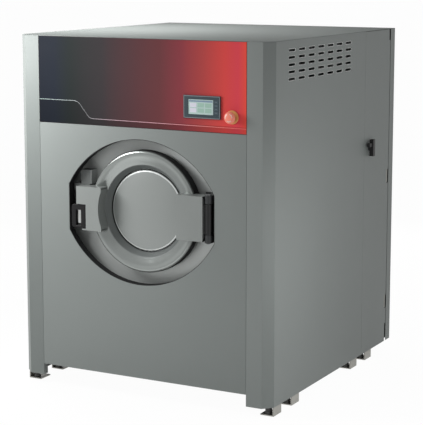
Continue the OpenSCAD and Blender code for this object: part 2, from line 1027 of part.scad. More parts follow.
// Back plate of the tub with its fill and vent stubs
module tub_back_plate() {
    from = tub_back;
    to = tub_back + back_t;
    color([0.7, 0.71, 0.72])
        difference() {
            union() {
                turned(0, axis_z)
                    polygon([[spigot_r + slack, from], [tub_r + rim, from], [tub_r + rim, to],
                        [spigot_r + slack, to]]);
                rod_y(fill_x, fill_z, fill_r, from, stub_back);
                rod_y(vent_x, vent_z, vent_r, from, stub_back);
            }
            rod_y(fill_x, fill_z, fill_r - pipe_t, from - 1, stub_back + 1);
            rod_y(vent_x, vent_z, vent_r - pipe_t, from - 1, stub_back + 1);
        }
}

bearing_front = tub_back + 20;
housing_end = pulley_depth - 30;
seal_bore = bearing_r - 5;
seal_start = tub_back - 6;

// Cast bearing housing with six ribs, bolted to the tub's back
module bearing_housing() {
    flange_r = 190;
    hub_r = bearing_r + 25;
    color([0.3, 0.32, 0.34])
        difference() {
            union() {
                turned(0, axis_z)
                    polygon([
                        [seal_bore, seal_start - 2],
                        [spigot_r, seal_start - 2],
                        [spigot_r, tub_back + back_t],
                        [flange_r, tub_back + back_t],
                        [flange_r, bearing_front],
                        [hub_r, bearing_front + 12],
                        [hub_r, housing_end],
                        [bearing_r, housing_end],
                        [bearing_r, bearing_front],
                        [seal_bore, bearing_front]
                    ]);
                for (a = [0 : 60 : 300])
                    translate([0, front_y, axis_z])
                        rotate([-90, 0, 0])
                            rotate([0, 0, a])
                                rotate([90, 0, 0])
                                    translate([0, 0, -6])
                                        linear_extrude(12)
                                            polygon([
                                                [hub_r - 4, bearing_front],
                                                [flange_r - 8, bearing_front - 2],
                                                [hub_r - 4, housing_end - 20]
                                            ]);
            }
            for (a = [30 : 60 : 330])
                translate([(flange_r - 15) * cos(a), 0, (flange_r - 15) * sin(a)])
                    rod_y(0, axis_z, 7, tub_back + back_t - 1, bearing_front + 5);
        }
}

// Two ball bearings, drawn as their rings with a groove at the balls' shield
module drum_bearings() {
    mid = (shaft_r + bearing_r) / 2;
    color("silver")
        for (d = [bearing_front, housing_end - bearing_w])
            turned(0, axis_z)
                polygon([
                    [shaft_r + run_fit, d],
                    [mid - 5, d],
                    [mid - 5, d + 1.5],
                    [mid + 5, d + 1.5],
                    [mid + 5, d],
                    [bearing_r - 0.02, d],
                    [bearing_r - 0.02, d + bearing_w],
                    [shaft_r + run_fit, d + bearing_w]
                ]);
}

module shaft_seal() {
    color("saddlebrown")
        turned(0, axis_z)
            polygon([
                [shaft_r + slack, seal_start],
                [seal_bore - 0.02, seal_start],
                [seal_bore - 0.02, seal_start + 12],
                [shaft_r + slack, seal_start + 12]
            ]);
}

yoke_end = spring_x - beam_w / 2;
bracket_plate = 14;
motor_front = yoke_depths[1] + yoke_t + bracket_plate;

// Cradle: two beams, a yoke under each end of the tub, and the motor's mounting plate
module tub_cradle() {
    horn = axis_z - 240;
    color([0.3, 0.32, 0.34])
        difference() {
            union() {
                both_sides()
                    difference() {
                        block(yoke_end, yoke_end + beam_w, cradle_front, cradle_rear, beam_z, beam_z + beam_w);
                        block(yoke_end + base_wall, yoke_end + beam_w - base_wall, cradle_front - 1,
                            cradle_rear + 1, beam_z + base_wall, beam_z + beam_w - base_wall);
                    }
                for (d = yoke_depths)
                    block(-yoke_end, yoke_end, d, d + yoke_t, yoke_low, horn);
                block(-motor_x - motor_r - 2, -motor_x + motor_r, yoke_depths[1] + yoke_t - 1, motor_front,
                    yoke_low + 10, beam_z + beam_w);
            }
            rod_y(0, axis_z, tub_r + touch, cradle_front - 1, cradle_rear);
            rod_y(-motor_x, motor_z, rotor_r + 20, motor_front - 30, motor_front + 1);
            both_sides()
                for (d = spring_depths)
                    rod_z(spring_x, d, spring_r + 8, yoke_low - 1, beam_z);
        }
}

// Cast blocks hung under the yokes
module counterweights() {
    near = drain_r + 18;
    color("dimgray")
        both_sides()
            block(near, near + 145, yoke_depths[0] - 4, yoke_depths[1] + yoke_t - 2,
                base_top + 30, yoke_low);
}

shaft_back = 25;

// Motor with stepped end bells, cooling grooves and a terminal box
module motor_housing() {
    to = motor_front + motor_len;
    bell = motor_r - 8;
    color([0.25, 0.3, 0.36])
        difference() {
            union() {
                turned(-motor_x, motor_z)
                    polygon([
                        [rotor_r + run_fit, motor_front + 4],
                        [rotor_r + 16, motor_front],
                        [motor_r, motor_front],
                        [motor_r, motor_front + 14],
                        [bell, motor_front + 18],
                        [bell, to - 18],
                        [motor_r, to - 14],
                        [motor_r, to - 4],
                        [bell, to],
                        [rotor_r + run_fit, to]
                    ]);
                for (a = [0 : 15 : 345])
                    translate([-motor_x, front_y + motor_front + 10, motor_z])
                        rotate([0, a, 0])
                            translate([bell - 3, 0, -1.5])
                                cube([10, motor_len - 20, 3]);
                block(-motor_x + 20, -motor_x + bell + 30, motor_front + 60, motor_front + 140,
                    motor_z - 35, motor_z + 35);
            }
            rod_y(-motor_x, motor_z, rotor_r + run_fit, motor_front - 1, to + 1);
        }
}

// Outline round both pulleys, as arcs joined by the two outer tangents
function arc(cx, cz, r, from, to) =
    [for (i = [0 : 30]) let (a = from + (to - from) * i / 30) [cx + r * cos(a), cz + r * sin(a)]];

module belt_outline(grow) {
    across = sqrt(pow(motor_x, 2) + pow(axis_z - motor_z, 2));
    lean = asin((pulley_r - motor_pulley_r) / across);
    aim = atan2(motor_z - axis_z, -motor_x);
    polygon(concat(
        arc(0, axis_z, pulley_r + grow, aim + 90 - lean, aim + 270 + lean),
        arc(-motor_x, motor_z, motor_pulley_r + grow, aim - 90 + lean, aim + 90 - lean)
    ));
}

module drive_belt() {
    from = pulley_depth + 2;
    run = 0.7;
    color([0.1, 0.1, 0.1])
        slab(from, from + belt_w)
            difference() {
                belt_outline(run + belt_t);
                belt_outline(run);
            }
}

// Drain sump, outlet pipe and valve drive below the tub
module drain_valve() {
    r_in = drain_r - pipe_t;
    color([0.2, 0.2, 0.22])
        difference() {
            union() {
                rod_z(0, drain_depth, drain_r, drain_z, axis_z - tub_r + 30);
                rod_y(0, drain_z, drain_r, drain_depth - drain_r, drain_end);
                block(drain_r - 8, drain_r + 56, motor_front + 8, motor_front + 78,
                    drain_z - 30, drain_z + 30);
            }
            rod_z(0, drain_depth, r_in, drain_z, axis_z);
            rod_y(0, drain_z, r_in, drain_depth - r_in, drain_end + 1);
            rod_y(0, axis_z, tub_r + touch, drain_depth - 60, drain_depth + 60);
        }
}

pin_r = hinge_pin_d / 2;
arm_h = 28;
arm_gap = 2;
bracket_half = plate_h / 2 + 4;
arm_low = bracket_half - arm_h;

// Hinge bracket on the loading ring, with a bored knuckle on each arm
module hinge_bracket() {
    color([0.08, 0.08, 0.09])
        difference() {
            union() {
                block(ring_r + 12, hinge_x + 14, load_depth - 8, load_depth,
                    axis_z - bracket_half, axis_z + bracket_half);
                for (way = [-1, 1]) {
                    mid = axis_z + way * (arm_low + arm_h / 2);
                    block(hinge_x - knuckle_r, hinge_x + knuckle_r, hinge_depth, load_depth - 7,
                        mid - arm_h / 2, mid + arm_h / 2);
                    rod_z(hinge_x, hinge_depth, knuckle_r, mid - arm_h / 2, mid + arm_h / 2);
                }
            }
            rod_z(hinge_x, hinge_depth, pin_r + run_fit, axis_z - bracket_half - 1, axis_z + bracket_half + 1);
        }
}

module hinge_pin() {
    color("silver")
        union() {
            rod_z(hinge_x, hinge_depth, pin_r, axis_z - bracket_half - 3, axis_z + bracket_half + 1);
            rod_z(hinge_x, hinge_depth, pin_r + 3, axis_z + bracket_half + touch, axis_z + bracket_half + 4);
        }
}

tongue_half = 11;
tongue_t = 6;
tongue_x = plate_end - 14;
tongue_z = axis_z + 40;
tongue_end = 52;
lock_front = 30;
bolt_r = 5;
bolt_depth = 42;
bolt_travel = 14;
bolt_len = 46;
slot_play = 4;

// Lock on the loading ring: a slot for the door's tongue, and the solenoid above it
module lock_housing() {
    left = plate_end + 35;
    right = ring_r + 10;
    top = axis_z + 80;
    color([0.55, 0.56, 0.57])
        difference() {
            union() {
                block(-left, -right, lock_front, load_depth, axis_z - 70, top);
                block(-right - 36, -right + 6, lock_front, load_depth, top, top + 50);
            }
            block(-tongue_x - tongue_half - slot_play - 2, -right + 1, lock_front - 1,
                tongue_end + 10, tongue_z - slot_play, tongue_z + tongue_t + slot_play);
            rod_z(-tongue_x, bolt_depth, bolt_r + run_fit, tongue_z + tongue_t, top + 36);
        }
}

module lock_bolt() {
    from = tongue_z + tongue_t + slot_play + 1;
    color("silver")
        rod_z(-tongue_x, bolt_depth, bolt_r, from, from + bolt_len);
}

// Rubber ring between the loading ring and the closed door
module door_gasket() {
    from = seat_depth + slack;
    color([0.1, 0.1, 0.1])
        turned(0, axis_z)
            polygon([
                [throat_r + 2, from + 3],
                [throat_r + 6, from],
                [ring_r - 8, from],
                [ring_r - 4, from + 3],
                [ring_r - 4, load_depth],
                [throat_r + 2, load_depth]
            ]);
}

drum_front = 118;
drum_back = 590;
mouth_r = throat_r + 4;

// Drum: front ring with a rolled lip, shell and back plate
module drum_shell() {
    in_r = drum_r - drum_t;
    color([0.75, 0.76, 0.77])
        turned(0, axis_z)
            polygon([
                [mouth_r, drum_front],
                [drum_r, drum_front],
                [drum_r, drum_back],
                [0, drum_back],
                [0, drum_back - drum_t],
                [in_r, drum_back - drum_t],
                [in_r, drum_front + drum_t],
                [mouth_r + drum_t, drum_front + drum_t],
                [mouth_r + drum_t, drum_front + 14],
                [mouth_r, drum_front + 14]
            ]);
}

lifter_r = drum_r - drum_t - touch;
lifter_base = 42;
lifter_crest = 13;
lifter_len = drum_back - drum_front - drum_t * 2 - 8;

// Section of a lifter on the drum's inside, drawn in by a wall
module lifter_section(wall, reach) {
    intersection() {
        circle(r = lifter_r + reach);
        polygon([
            [lifter_r - lifter_h + wall, wall / 2 - lifter_crest],
            [lifter_r + 5, wall - lifter_base],
            [lifter_r + 5, lifter_base - wall],
            [lifter_r - lifter_h + wall, lifter_crest - wall / 2]
        ]);
    }
}

// Lifters of folded sheet with closed ends
module drum_lifters() {
    color([0.75, 0.76, 0.77])
        for (i = [0 : lifter_n - 1])
            translate([0, front_y + drum_back - drum_t - 4, axis_z])
                rotate([0, 90 + i * 360 / lifter_n, 0])
                    rotate([90, 0, 0])
                        difference() {
                            linear_extrude(lifter_len)
                                lifter_section(0, 0);
                            translate([0, 0, drum_t])
                                linear_extrude(lifter_len - 2 * drum_t)
                                    lifter_section(drum_t, 2);
                        }
}

// Three-arm spider with the drum shaft
module drum_spider() {
    hub_r = 75;
    arm = 62;
    from = drum_back + touch;
    color("gray")
        union() {
            rod_y(0, axis_z, hub_r, from, seal_start - 6);
            rod_y(0, axis_z, shaft_r, from + 4, pulley_depth + belt_w + 14);
            for (a = [0 : 120 : 240])
                translate([0, front_y + from, axis_z])
                    rotate([0, a, 0])
                        translate([0, 0, -arm / 2])
                            cube([drum_r - 6, 24, arm]);
        }
}

// Flat-faced drum pulley with round lightening holes
module drum_pulley() {
    to = pulley_depth + belt_w + 4;
    web = pulley_depth + belt_w / 2 - 4;
    hub_r = shaft_r + 28;
    color([0.35, 0.36, 0.38])
        difference() {
            turned(0, axis_z)
                polygon([
                    [shaft_r + run_fit, pulley_depth - 15],
                    [hub_r, pulley_depth - 15],
                    [hub_r, web],
                    [pulley_r - 12, web],
                    [pulley_r - 12, pulley_depth],
                    [pulley_r, pulley_depth],
                    [pulley_r, to],
                    [pulley_r - 12, to],
                    [pulley_r - 12, web + 12],
                    [hub_r, web + 12],
                    [hub_r, to + 5],
                    [shaft_r + run_fit, to + 5]
                ]);
            for (a = [0 : 60 : 300])
                translate([(pulley_r + hub_r) / 2 * cos(a), 0, (pulley_r + hub_r) / 2 * sin(a)])
                    rod_y(0, axis_z, 34, web - 1, web + 13);
        }
}

// Motor shaft with its flanged pulley
module motor_rotor() {
    to = pulley_depth + belt_w + 4;
    color("silver")
        union() {
            rod_y(-motor_x, motor_z, rotor_r, motor_front + 20, to + 12);
            rod_y(-motor_x, motor_z, motor_pulley_r, pulley_depth, to);
            rod_y(-motor_x, motor_z, motor_pulley_r + belt_t, pulley_depth - 3, pulley_depth);
            rod_y(-motor_x, motor_z, motor_pulley_r + belt_t, to, to + 3);
        }
}

clamp_r = throat_r - 8;
groove_deep = 12;
edge_round = 5;

// Section of the door ring: rim, dished face and inner cone
function ring_points(grow) = [
    [eye_r, seat_depth - ring_wall - grow],
    [eye_r, seat_depth],
    [clamp_r + 1, seat_depth],
    [clamp_r + 1, seat_depth - groove_deep],
    [throat_r, seat_depth - groove_deep],
    [throat_r, seat_depth],
    [ring_r + grow, seat_depth],
    [ring_r + grow, ring_front + edge_round],
    [ring_r - edge_round + grow, ring_front - grow],
    [ring_r - edge_round * 2, ring_front - grow],
    [dish_r, dish_depth - grow]
];

module door_ring() {
    color([0.78, 0.79, 0.8])
        turned(0, axis_z)
            polygon(ring_points(0));
}

glass_front = seat_depth + touch;
bowl_r = cover_r - 7;

// Pressed glass bowl with its flat flange
module door_glass() {
    flange_r = clamp_r - 10;
    floor_depth = glass_front + bowl_deep;
    color([0.6, 0.7, 0.72, 0.4])
        turned(0, axis_z)
            polygon([
                [bowl_r, glass_front],
                [flange_r, glass_front],
                [flange_r, glass_front + glass_t],
                [bowl_r + glass_t, glass_front + glass_t],
                [bowl_r - 10, floor_depth - 16],
                [bowl_r - 34, floor_depth - 3],
                [0, floor_depth],
                [0, floor_depth - glass_t],
                [bowl_r - 38, floor_depth - glass_t - 4],
                [bowl_r - 18, floor_depth - 21]
            ]);
}

// Ring that clamps the glass to the back of the door ring
module glass_clamp() {
    back = glass_front + glass_t + touch;
    color("silver")
        turned(0, axis_z)
            polygon([
                [clamp_r - 22, back],
                [clamp_r - 8, back],
                [clamp_r - 8, seat_depth],
                [clamp_r, seat_depth],
                [clamp_r, back + ring_wall],
                [clamp_r - 22, back + ring_wall]
            ]);
}

dome = 6;

// Domed cover over the window, with a rim that stands on the glass
module window_cover() {
    edge = seat_depth - 8;
    color([0.6, 0.62, 0.61])
        turned(0, axis_z)
            polygon([
                [0, edge - dome],
                [cover_r * 0.45, edge - dome * 0.8],
                [cover_r * 0.75, edge - dome * 0.45],
                [cover_r - 4, edge],
                [cover_r, edge + 1],
                [cover_r, seat_depth],
                [cover_r - 4, seat_depth],
                [cover_r - 4, edge + 4],
                [cover_r * 0.75, edge + 4 - dome * 0.45],
                [cover_r * 0.45, edge + 4 - dome * 0.8],
                [0, edge + 4 - dome]
            ]);
}

plate_low = axis_z - plate_h / 2;
plate_high = axis_z + plate_h / 2;
plate_inner = 150;
wall_back = 40;

// Hinge plate: a hollow cover on the ring's face with the door's own knuckle
module hinge_plate() {
    knuckle_half = arm_low - arm_gap;
    color([0.7, 0.71, 0.71])
        difference() {
            union() {
                difference() {
                    block(plate_inner, plate_end, -plate_proud, wall_back, plate_low, plate_high);
                    block(plate_inner + plate_wall, plate_end - plate_wall, plate_wall - plate_proud,
                        wall_back + 1, plate_low + plate_wall, plate_high - plate_wall);
                }
                block(plate_inner, plate_inner + plate_wall, 0, seat_depth - 2, plate_low, plate_high);
                block(plate_end - plate_wall, hinge_x, hinge_depth - 9, hinge_depth + 9,
                    axis_z - knuckle_half, axis_z + knuckle_half);
                rod_z(hinge_x, hinge_depth, knuckle_r, axis_z - knuckle_half, axis_z + knuckle_half);
            }
            turned(0, axis_z) polygon(ring_points(touch));
            rod_z(hinge_x, hinge_depth, pin_r + run_fit, plate_low, plate_high);
        }
}

notch_x = 213;
notch_z = axis_z + 14;
handle_x = notch_x + 9;
handle_depth = -2;
handle_low = plate_low + 6;
lug_t = plate_wall;

// Front view of the lock plate, drawn in by a wall
module lock_outline(wall) {
    difference() {
        translate([-plate_end + wall, plate_low + wall])
            square([plate_end - plate_inner, plate_h - 2 * wall]);
        translate([0, axis_z])
            circle(r = dish_r + wall, $fn = 180);
        translate([-plate_end - 1, plate_low - 1])
            square([plate_end - notch_x + 1 + wall, notch_z - plate_low + 1 + wall]);
    }
}

// Lock plate: a hollow cover with a notch for the handle, its pin lugs and the lock tongue
module lock_plate() {
    color([0.7, 0.71, 0.71])
        difference() {
            union() {
                difference() {
                    slab(-plate_proud, wall_back) lock_outline(0);
                    slab(plate_wall - plate_proud, wall_back + 1) lock_outline(plate_wall);
                }
                block(-handle_x - 7, -notch_x + plate_wall, -plate_proud, 8, plate_low, plate_low + lug_t);
                block(-tongue_x - tongue_half, -tongue_x + tongue_half, 1 - plate_proud, tongue_end,
                    tongue_z, tongue_z + tongue_t);
            }
            turned(0, axis_z) polygon(ring_points(touch));
            difference() {
                block(-plate_end - 1, -ring_r - 3, lock_front - 3, wall_back + 1, plate_low - 1, plate_high + 1);
                block(-tongue_x - tongue_half, -tongue_x + tongue_half, 0, wall_back + 2,
                    tongue_z, tongue_z + tongue_t);
            }
            rod_z(-tongue_x, bolt_depth, bolt_r + 2, tongue_z - 1, tongue_z + tongue_t + 1);
            rod_z(-handle_x, handle_depth, handle_pin_d / 2 + run_fit, plate_low - 1, notch_z + plate_wall + 1);
        }
}

// Black pull handle with its finger slot and boss
module door_handle() {
    left = handle_x + handle_w;
    high = handle_low + handle_h;
    slot = 20;
    corner = 6;
    color([0.08, 0.08, 0.09])
        difference() {
            union() {
                slab(handle_depth - handle_t / 2, handle_depth + handle_t / 2)
                    polygon([
                        [-left + corner, handle_low],
                        [-handle_x, handle_low],
                        [-handle_x, high],
                        [-left + corner, high],
                        [-left, high - corner],
                        [-left, handle_low + corner]
                    ]);
                rod_z(-handle_x, handle_depth, handle_t / 2, handle_low, high);
            }
            block(-left + 18, -left + 18 + slot, handle_depth - handle_t, handle_depth + handle_t,
                handle_low + 8, high - 20);
            rod_z(-handle_x, handle_depth, handle_pin_d / 2 + run_fit, handle_low - 1, high + 1);
        }
}

module handle_pin() {
    color("silver")
        rod_z(-handle_x, handle_depth, handle_pin_d / 2, plate_low - 2, notch_z + plate_wall + 2);
}

base_frame();
foot_brackets();
levelling_feet();
cabinet_frame();
left_side_panel();
right_side_panel();
rear_panel();
front_panel();
control_fascia();
fascia_film();
top_cover_front();
top_cover_rear();
display_bezel();
display_screen();
stop_collar();
stop_contacts();
stop_plunger();
stop_head();
electrical_box();
inlet_valves();
water_hoses();
drain_outlet();
vent_pipe();
cable_gland();
service_hinges();
cover_screws();
suspension_springs();
damper_bodies();
damper_rods();
service_door();
service_latch();
tub_shell();
tub_front_plate();
tub_back_plate();
bearing_housing();
drum_bearings();
shaft_seal();
tub_cradle();
counterweights();
motor_housing();
drive_belt();
drain_valve();
hinge_bracket();
hinge_pin();
lock_housing();
lock_bolt();
door_gasket();
drum_shell();
drum_lifters();
drum_spider();
drum_pulley();
motor_rotor();
door_ring();
door_glass();
glass_clamp();
window_cover();
hinge_plate();
lock_plate();
door_handle();
handle_pin();
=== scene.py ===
import json
import math

import bpy
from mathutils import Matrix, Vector

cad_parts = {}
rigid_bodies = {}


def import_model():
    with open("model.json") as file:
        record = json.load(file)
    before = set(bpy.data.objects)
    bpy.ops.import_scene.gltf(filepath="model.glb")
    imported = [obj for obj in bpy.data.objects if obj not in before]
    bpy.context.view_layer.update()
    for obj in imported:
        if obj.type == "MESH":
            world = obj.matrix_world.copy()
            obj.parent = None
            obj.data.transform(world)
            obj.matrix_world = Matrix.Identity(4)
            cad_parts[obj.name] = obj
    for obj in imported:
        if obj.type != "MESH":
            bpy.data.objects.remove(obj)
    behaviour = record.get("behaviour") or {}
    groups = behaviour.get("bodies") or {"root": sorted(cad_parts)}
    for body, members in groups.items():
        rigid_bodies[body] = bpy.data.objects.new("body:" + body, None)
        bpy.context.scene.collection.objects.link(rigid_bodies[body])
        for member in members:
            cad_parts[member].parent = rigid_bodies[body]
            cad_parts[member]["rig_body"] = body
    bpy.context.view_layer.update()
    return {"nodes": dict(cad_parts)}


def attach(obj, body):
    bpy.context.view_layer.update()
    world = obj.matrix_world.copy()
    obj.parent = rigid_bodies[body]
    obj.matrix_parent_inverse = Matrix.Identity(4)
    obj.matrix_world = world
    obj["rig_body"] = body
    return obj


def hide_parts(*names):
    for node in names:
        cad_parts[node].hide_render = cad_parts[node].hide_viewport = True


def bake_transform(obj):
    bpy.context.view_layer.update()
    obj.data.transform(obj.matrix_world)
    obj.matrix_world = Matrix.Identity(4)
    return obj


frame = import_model()


# --- Studio -------------------------------------------------------------------------------
# A plain pale floor with painted shade where the machine stands, in a white surround. Soft lamps
# stand at the left front, low in front, over the left, at the right and behind, and the camera
# stands at the photograph's angle.

def fed(socket, value):
    """Links a shader socket to another node's, or sets it to a plain value."""
    if isinstance(value, bpy.types.NodeSocket):
        socket.id_data.links.new(value, socket)
    else:
        socket.default_value = value


def dialled(node, **values):
    """Feeds a shader node's inputs by their names."""
    for label, value in values.items():
        fed(node.inputs[label.replace("_", " ")], value)
    return node


def maths(tree, kind, first, second, clamp=False):
    """One Math node on two numbers or sockets."""
    node = tree.nodes.new("ShaderNodeMath")
    node.operation = kind
    node.use_clamp = clamp
    fed(node.inputs[0], first)
    fed(node.inputs[1], second)
    return node.outputs[0]


def vector_maths(tree, kind, first, second=(0, 0, 0), **values):
    """One Vector Math node on vectors, and on a scale where its kind takes one."""
    node = tree.nodes.new("ShaderNodeVectorMath")
    node.operation = kind
    fed(node.inputs[0], first)
    fed(node.inputs[1], second)
    return dialled(node, **values)


def own_place(tree):
    """A point's place in the frame of its own object."""
    return tree.nodes.new("ShaderNodeTexCoord").outputs["Object"]


def axes(tree, vector):
    """The three parts of a vector, as sockets X, Y and Z."""
    return dialled(tree.nodes.new("ShaderNodeSeparateXYZ"), Vector=vector).outputs


def ranged(tree, value, **limits):
    """A value carried from one range over to another and held at its ends."""
    return dialled(tree.nodes.new("ShaderNodeMapRange"), Value=value, **limits).outputs["Result"]


def new_paint(name):
    """A material, its node tree and its Principled shader."""
    paint = bpy.data.materials.new(name)
    paint.use_nodes = True
    return paint, paint.node_tree, paint.node_tree.nodes["Principled BSDF"]


def added(name, primitive, **sizes):
    """Adds a primitive with nothing else selected, its place and turn kept in its mesh."""
    bpy.ops.object.select_all(action="DESELECT")
    primitive(**sizes)
    piece = bpy.context.object
    piece.name = name
    bpy.ops.object.transform_apply()
    return piece


def sees_surround(tree):
    """1 for the rays that see the surround: the camera's, mirrored ones and those through glass."""
    rays = tree.nodes.new("ShaderNodeLightPath").outputs
    direct = maths(tree, "MAXIMUM", rays["Is Camera Ray"], rays["Is Glossy Ray"])
    return maths(tree, "MAXIMUM", direct, rays["Is Transmission Ray"])


surround = bpy.data.worlds.new("white surround")
bpy.context.scene.world = surround
surround.use_nodes = True
air = surround.node_tree
light_strength, seen_strength = 0.46, 1.0
strength = ranged(air, sees_surround(air), To_Min=light_strength, To_Max=seen_strength)
dialled(air.nodes["Background"], Color=(1.0, 1.0, 1.0, 1.0), Strength=strength)

floor_width = 160
studio_floor = added("studio_floor", bpy.ops.mesh.primitive_plane_add, size=floor_width,
                     location=(0, 0, 0))
floor_paint, ground, matt = new_paint("studio floor")
dialled(matt, Base_Color=(0.8, 0.8, 0.8, 1.0), Roughness=0.9)
# The floor's glow fades out within the machine's footprint: painted shade under the machine.
shade_centre, shade_narrowing = (0, -0.21, 0), (0.795, 1, 1)
dark_within, pale_beyond, glow_least, glow_full = 0.285, 0.35, 0.1, 0.97
under = dialled(ground.nodes.new("ShaderNodeMapping"), Vector=own_place(ground),
                Location=shade_centre, Scale=shade_narrowing)
reach = axes(ground, vector_maths(ground, "ABSOLUTE", under.outputs["Vector"]).outputs[0])
painted_floor_shade = ranged(ground, maths(ground, "MAXIMUM", reach["X"], reach["Y"]), From_Min=dark_within,
              From_Max=pale_beyond, To_Min=glow_least, To_Max=glow_full)
blend = ground.nodes.new("ShaderNodeMixShader")
dialled(blend, Fac=maths(ground, "MULTIPLY", sees_surround(ground), painted_floor_shade))
fed(blend.inputs[1], matt.outputs["BSDF"])
fed(blend.inputs[2], ground.nodes.new("ShaderNodeEmission").outputs["Emission"])
dialled(ground.nodes["Material Output"], Surface=blend.outputs["Shader"])
studio_floor.data.materials.append(floor_paint)


def soft_lamp(name, place, aim, size, power, spread=180):
    """A square area lamp turned towards a point, with its beam's width in degrees."""
    data = bpy.data.lights.new(name, "AREA")
    data.shape = "SQUARE"
    data.size = size
    data.energy = power
    data.spread = math.radians(spread)
    lamp = bpy.data.objects.new(name, data)
    bpy.context.scene.collection.objects.link(lamp)
    lamp.location = place
    lamp.visible_camera = False
    lamp.rotation_mode = "QUATERNION"
    lamp.rotation_quaternion = (Vector(aim) - Vector(place)).to_track_quat("-Z", "Y")


soft_lamp("lamp_left", (-0.74, -0.98, 1.26), (-0.38, -0.48, 0.8), 0.45, 13.3)
soft_lamp("lamp_low", (-0.56, -1.1, 0.5), (-0.42, -0.48, 0.6), 0.4, 0.3)
soft_lamp("lamp_floor", (-0.35, -1.2, 0.03), (-0.35, -1.0, 1.0), 0.9, 3.8)
soft_lamp("lamp_over", (-0.9, 0.0, 2.4), (-0.4, 0.0, 1.26), 0.6, 6.2, 60)
soft_lamp("lamp_right", (1.1, -0.5, 0.55), (0.5, -0.3, 0.5), 0.5, 2.6)
soft_lamp("lamp_behind", (-1.3, 2.7, 0.9), (-0.2, 0.6, 0.7), 1.2, 45)

camera_at, aimed_at = Vector((2.5769, -4.7473, 1.5298)), Vector((-0.0187, 0.0729, 0.6726))
camera = bpy.data.objects.new("camera", bpy.data.cameras.new("camera"))
bpy.context.scene.collection.objects.link(camera)
camera.location = camera_at
camera.rotation_mode = "QUATERNION"
camera.rotation_quaternion = (aimed_at - camera_at).to_track_quat("-Z", "Y")
camera.data.lens = 124.73
camera.data.shift_y = -0.06
camera.data.sensor_width = 36
camera.data.clip_end = 200
bpy.context.scene.camera = camera
bpy.context.scene.view_settings.view_transform = "Standard"


# --- Base frame and uprights --------------------------------------------------------------
# Folded steel channels welded into a ladder, with two wide cross beams for the dampers and
# plates for the springs, in grey primer, uneven and dusty. Angle-iron uprights stand on it and
# carry the top rails, whose outer faces are painted black as shade where the louvres show them.

def tone(red, green, blue):
    """A colour from 0 to 255 as the eye sees it, turned into the values that a shader takes."""
    return tuple(
        c / 255 / 12.92 if c <= 10 else ((c / 255 + 0.055) / 1.055) ** 2.4
        for c in (red, green, blue)
    ) + (1.0,)


mid_grey = (0.5, 0.5, 0.5, 1.0)


def new_group(name, inputs, outputs):
    """A shader group with sockets of the kinds of their first values, its inputs and its end."""
    group = bpy.data.node_groups.new(name, "ShaderNodeTree")
    kinds = {float: "NodeSocketFloat", Vector: "NodeSocketVector", tuple: "NodeSocketColor"}
    for way, sockets in (("INPUT", inputs), ("OUTPUT", outputs)):
        for label, value in sockets.items():
            socket = group.interface.new_socket(name=label, in_out=way,
                                                socket_type=kinds[type(value)])
            socket.default_value = value
    take, give = group.nodes.new("NodeGroupInput"), group.nodes.new("NodeGroupOutput")
    return group, take.outputs, give


def noise(tree, vector, scale, detail=3.0, rough=0.55):
    """One Noise Texture, as a value from 0 to 1."""
    node = tree.nodes.new("ShaderNodeTexNoise")
    dialled(node, Vector=vector, Scale=scale, Detail=detail, Roughness=rough)
    return node.outputs["Fac"]


def mixed(tree, factor, first, second):
    """One colour Mix node on two colours or sockets."""
    node = tree.nodes.new("ShaderNodeMix")
    node.data_type = "RGBA"
    return dialled(node, Factor=factor, A=first, B=second).outputs["Result"]


def uneven_surface():
    """Cloudy colour, uneven gloss and a fine grain that can be drawn out along one direction."""
    group, take, give = new_group(
        "uneven surface",
        {"Colour": mid_grey, "Cloud": 0.06, "Gloss Spread": 0.05, "Roughness": 0.4,
         "Grain Stretch": Vector((1, 1, 1)), "Grain Tone": 0.02},
        {"Colour": mid_grey, "Roughness": 0.4, "Grain": 0.5})
    place = own_place(group)
    drawn = vector_maths(group, "MULTIPLY", place, take["Grain Stretch"]).outputs[0]
    cloud_scale, smear_scale, grain_scale, smear_share, swing = 3.2, 17.0, 900.0, 0.35, 3.0
    cloud = maths(group, "SUBTRACT", noise(group, place, cloud_scale), 0.5)
    smear = maths(group, "SUBTRACT", noise(group, place, smear_scale, 5.0, 0.7), 0.5)
    grain = noise(group, drawn, grain_scale, 2.0)
    patches = maths(group, "ADD", cloud, maths(group, "MULTIPLY", smear, smear_share))
    lift = maths(group, "MULTIPLY", patches, maths(group, "MULTIPLY", take["Cloud"], swing))
    streak = maths(group, "MULTIPLY", maths(group, "SUBTRACT", grain, 0.5), take["Grain Tone"])
    factor = maths(group, "ADD", maths(group, "ADD", lift, streak), 1.0)
    shade = vector_maths(group, "SCALE", take["Colour"], Scale=factor).outputs[0]
    spread = maths(group, "MULTIPLY", smear, maths(group, "MULTIPLY", take["Gloss Spread"], swing))
    rough = maths(group, "ADD", take["Roughness"], spread, True)
    dialled(give, Colour=shade, Roughness=rough, Grain=grain)
    return group


def settled_dust():
    """Pale dust that lies on upward faces and near the floor."""
    group, take, give = new_group(
        "settled dust",
        {"Colour": mid_grey, "Amount": 0.2, "Dust Colour": tone(140, 137, 130)},
        {"Colour": mid_grey})
    place = own_place(group)
    facing = axes(group, group.nodes.new("ShaderNodeNewGeometry").outputs["Normal"])["Z"]
    height = axes(group, place)["Z"]
    thins_by, low_share, patch_scale = 6.0, 0.5, 24.0
    low = maths(group, "SUBTRACT", 1.0, maths(group, "MULTIPLY", height, thins_by), True)
    upward = maths(group, "MAXIMUM", facing, 0.0)
    where = maths(group, "ADD", upward, maths(group, "MULTIPLY", low, low_share), True)
    patch = maths(group, "MULTIPLY", where, noise(group, place, patch_scale, 6.0, 0.7))
    amount = maths(group, "MULTIPLY", patch, take["Amount"], True)
    dialled(give, Colour=mixed(group, amount, take["Colour"], take["Dust Colour"]))
    return group


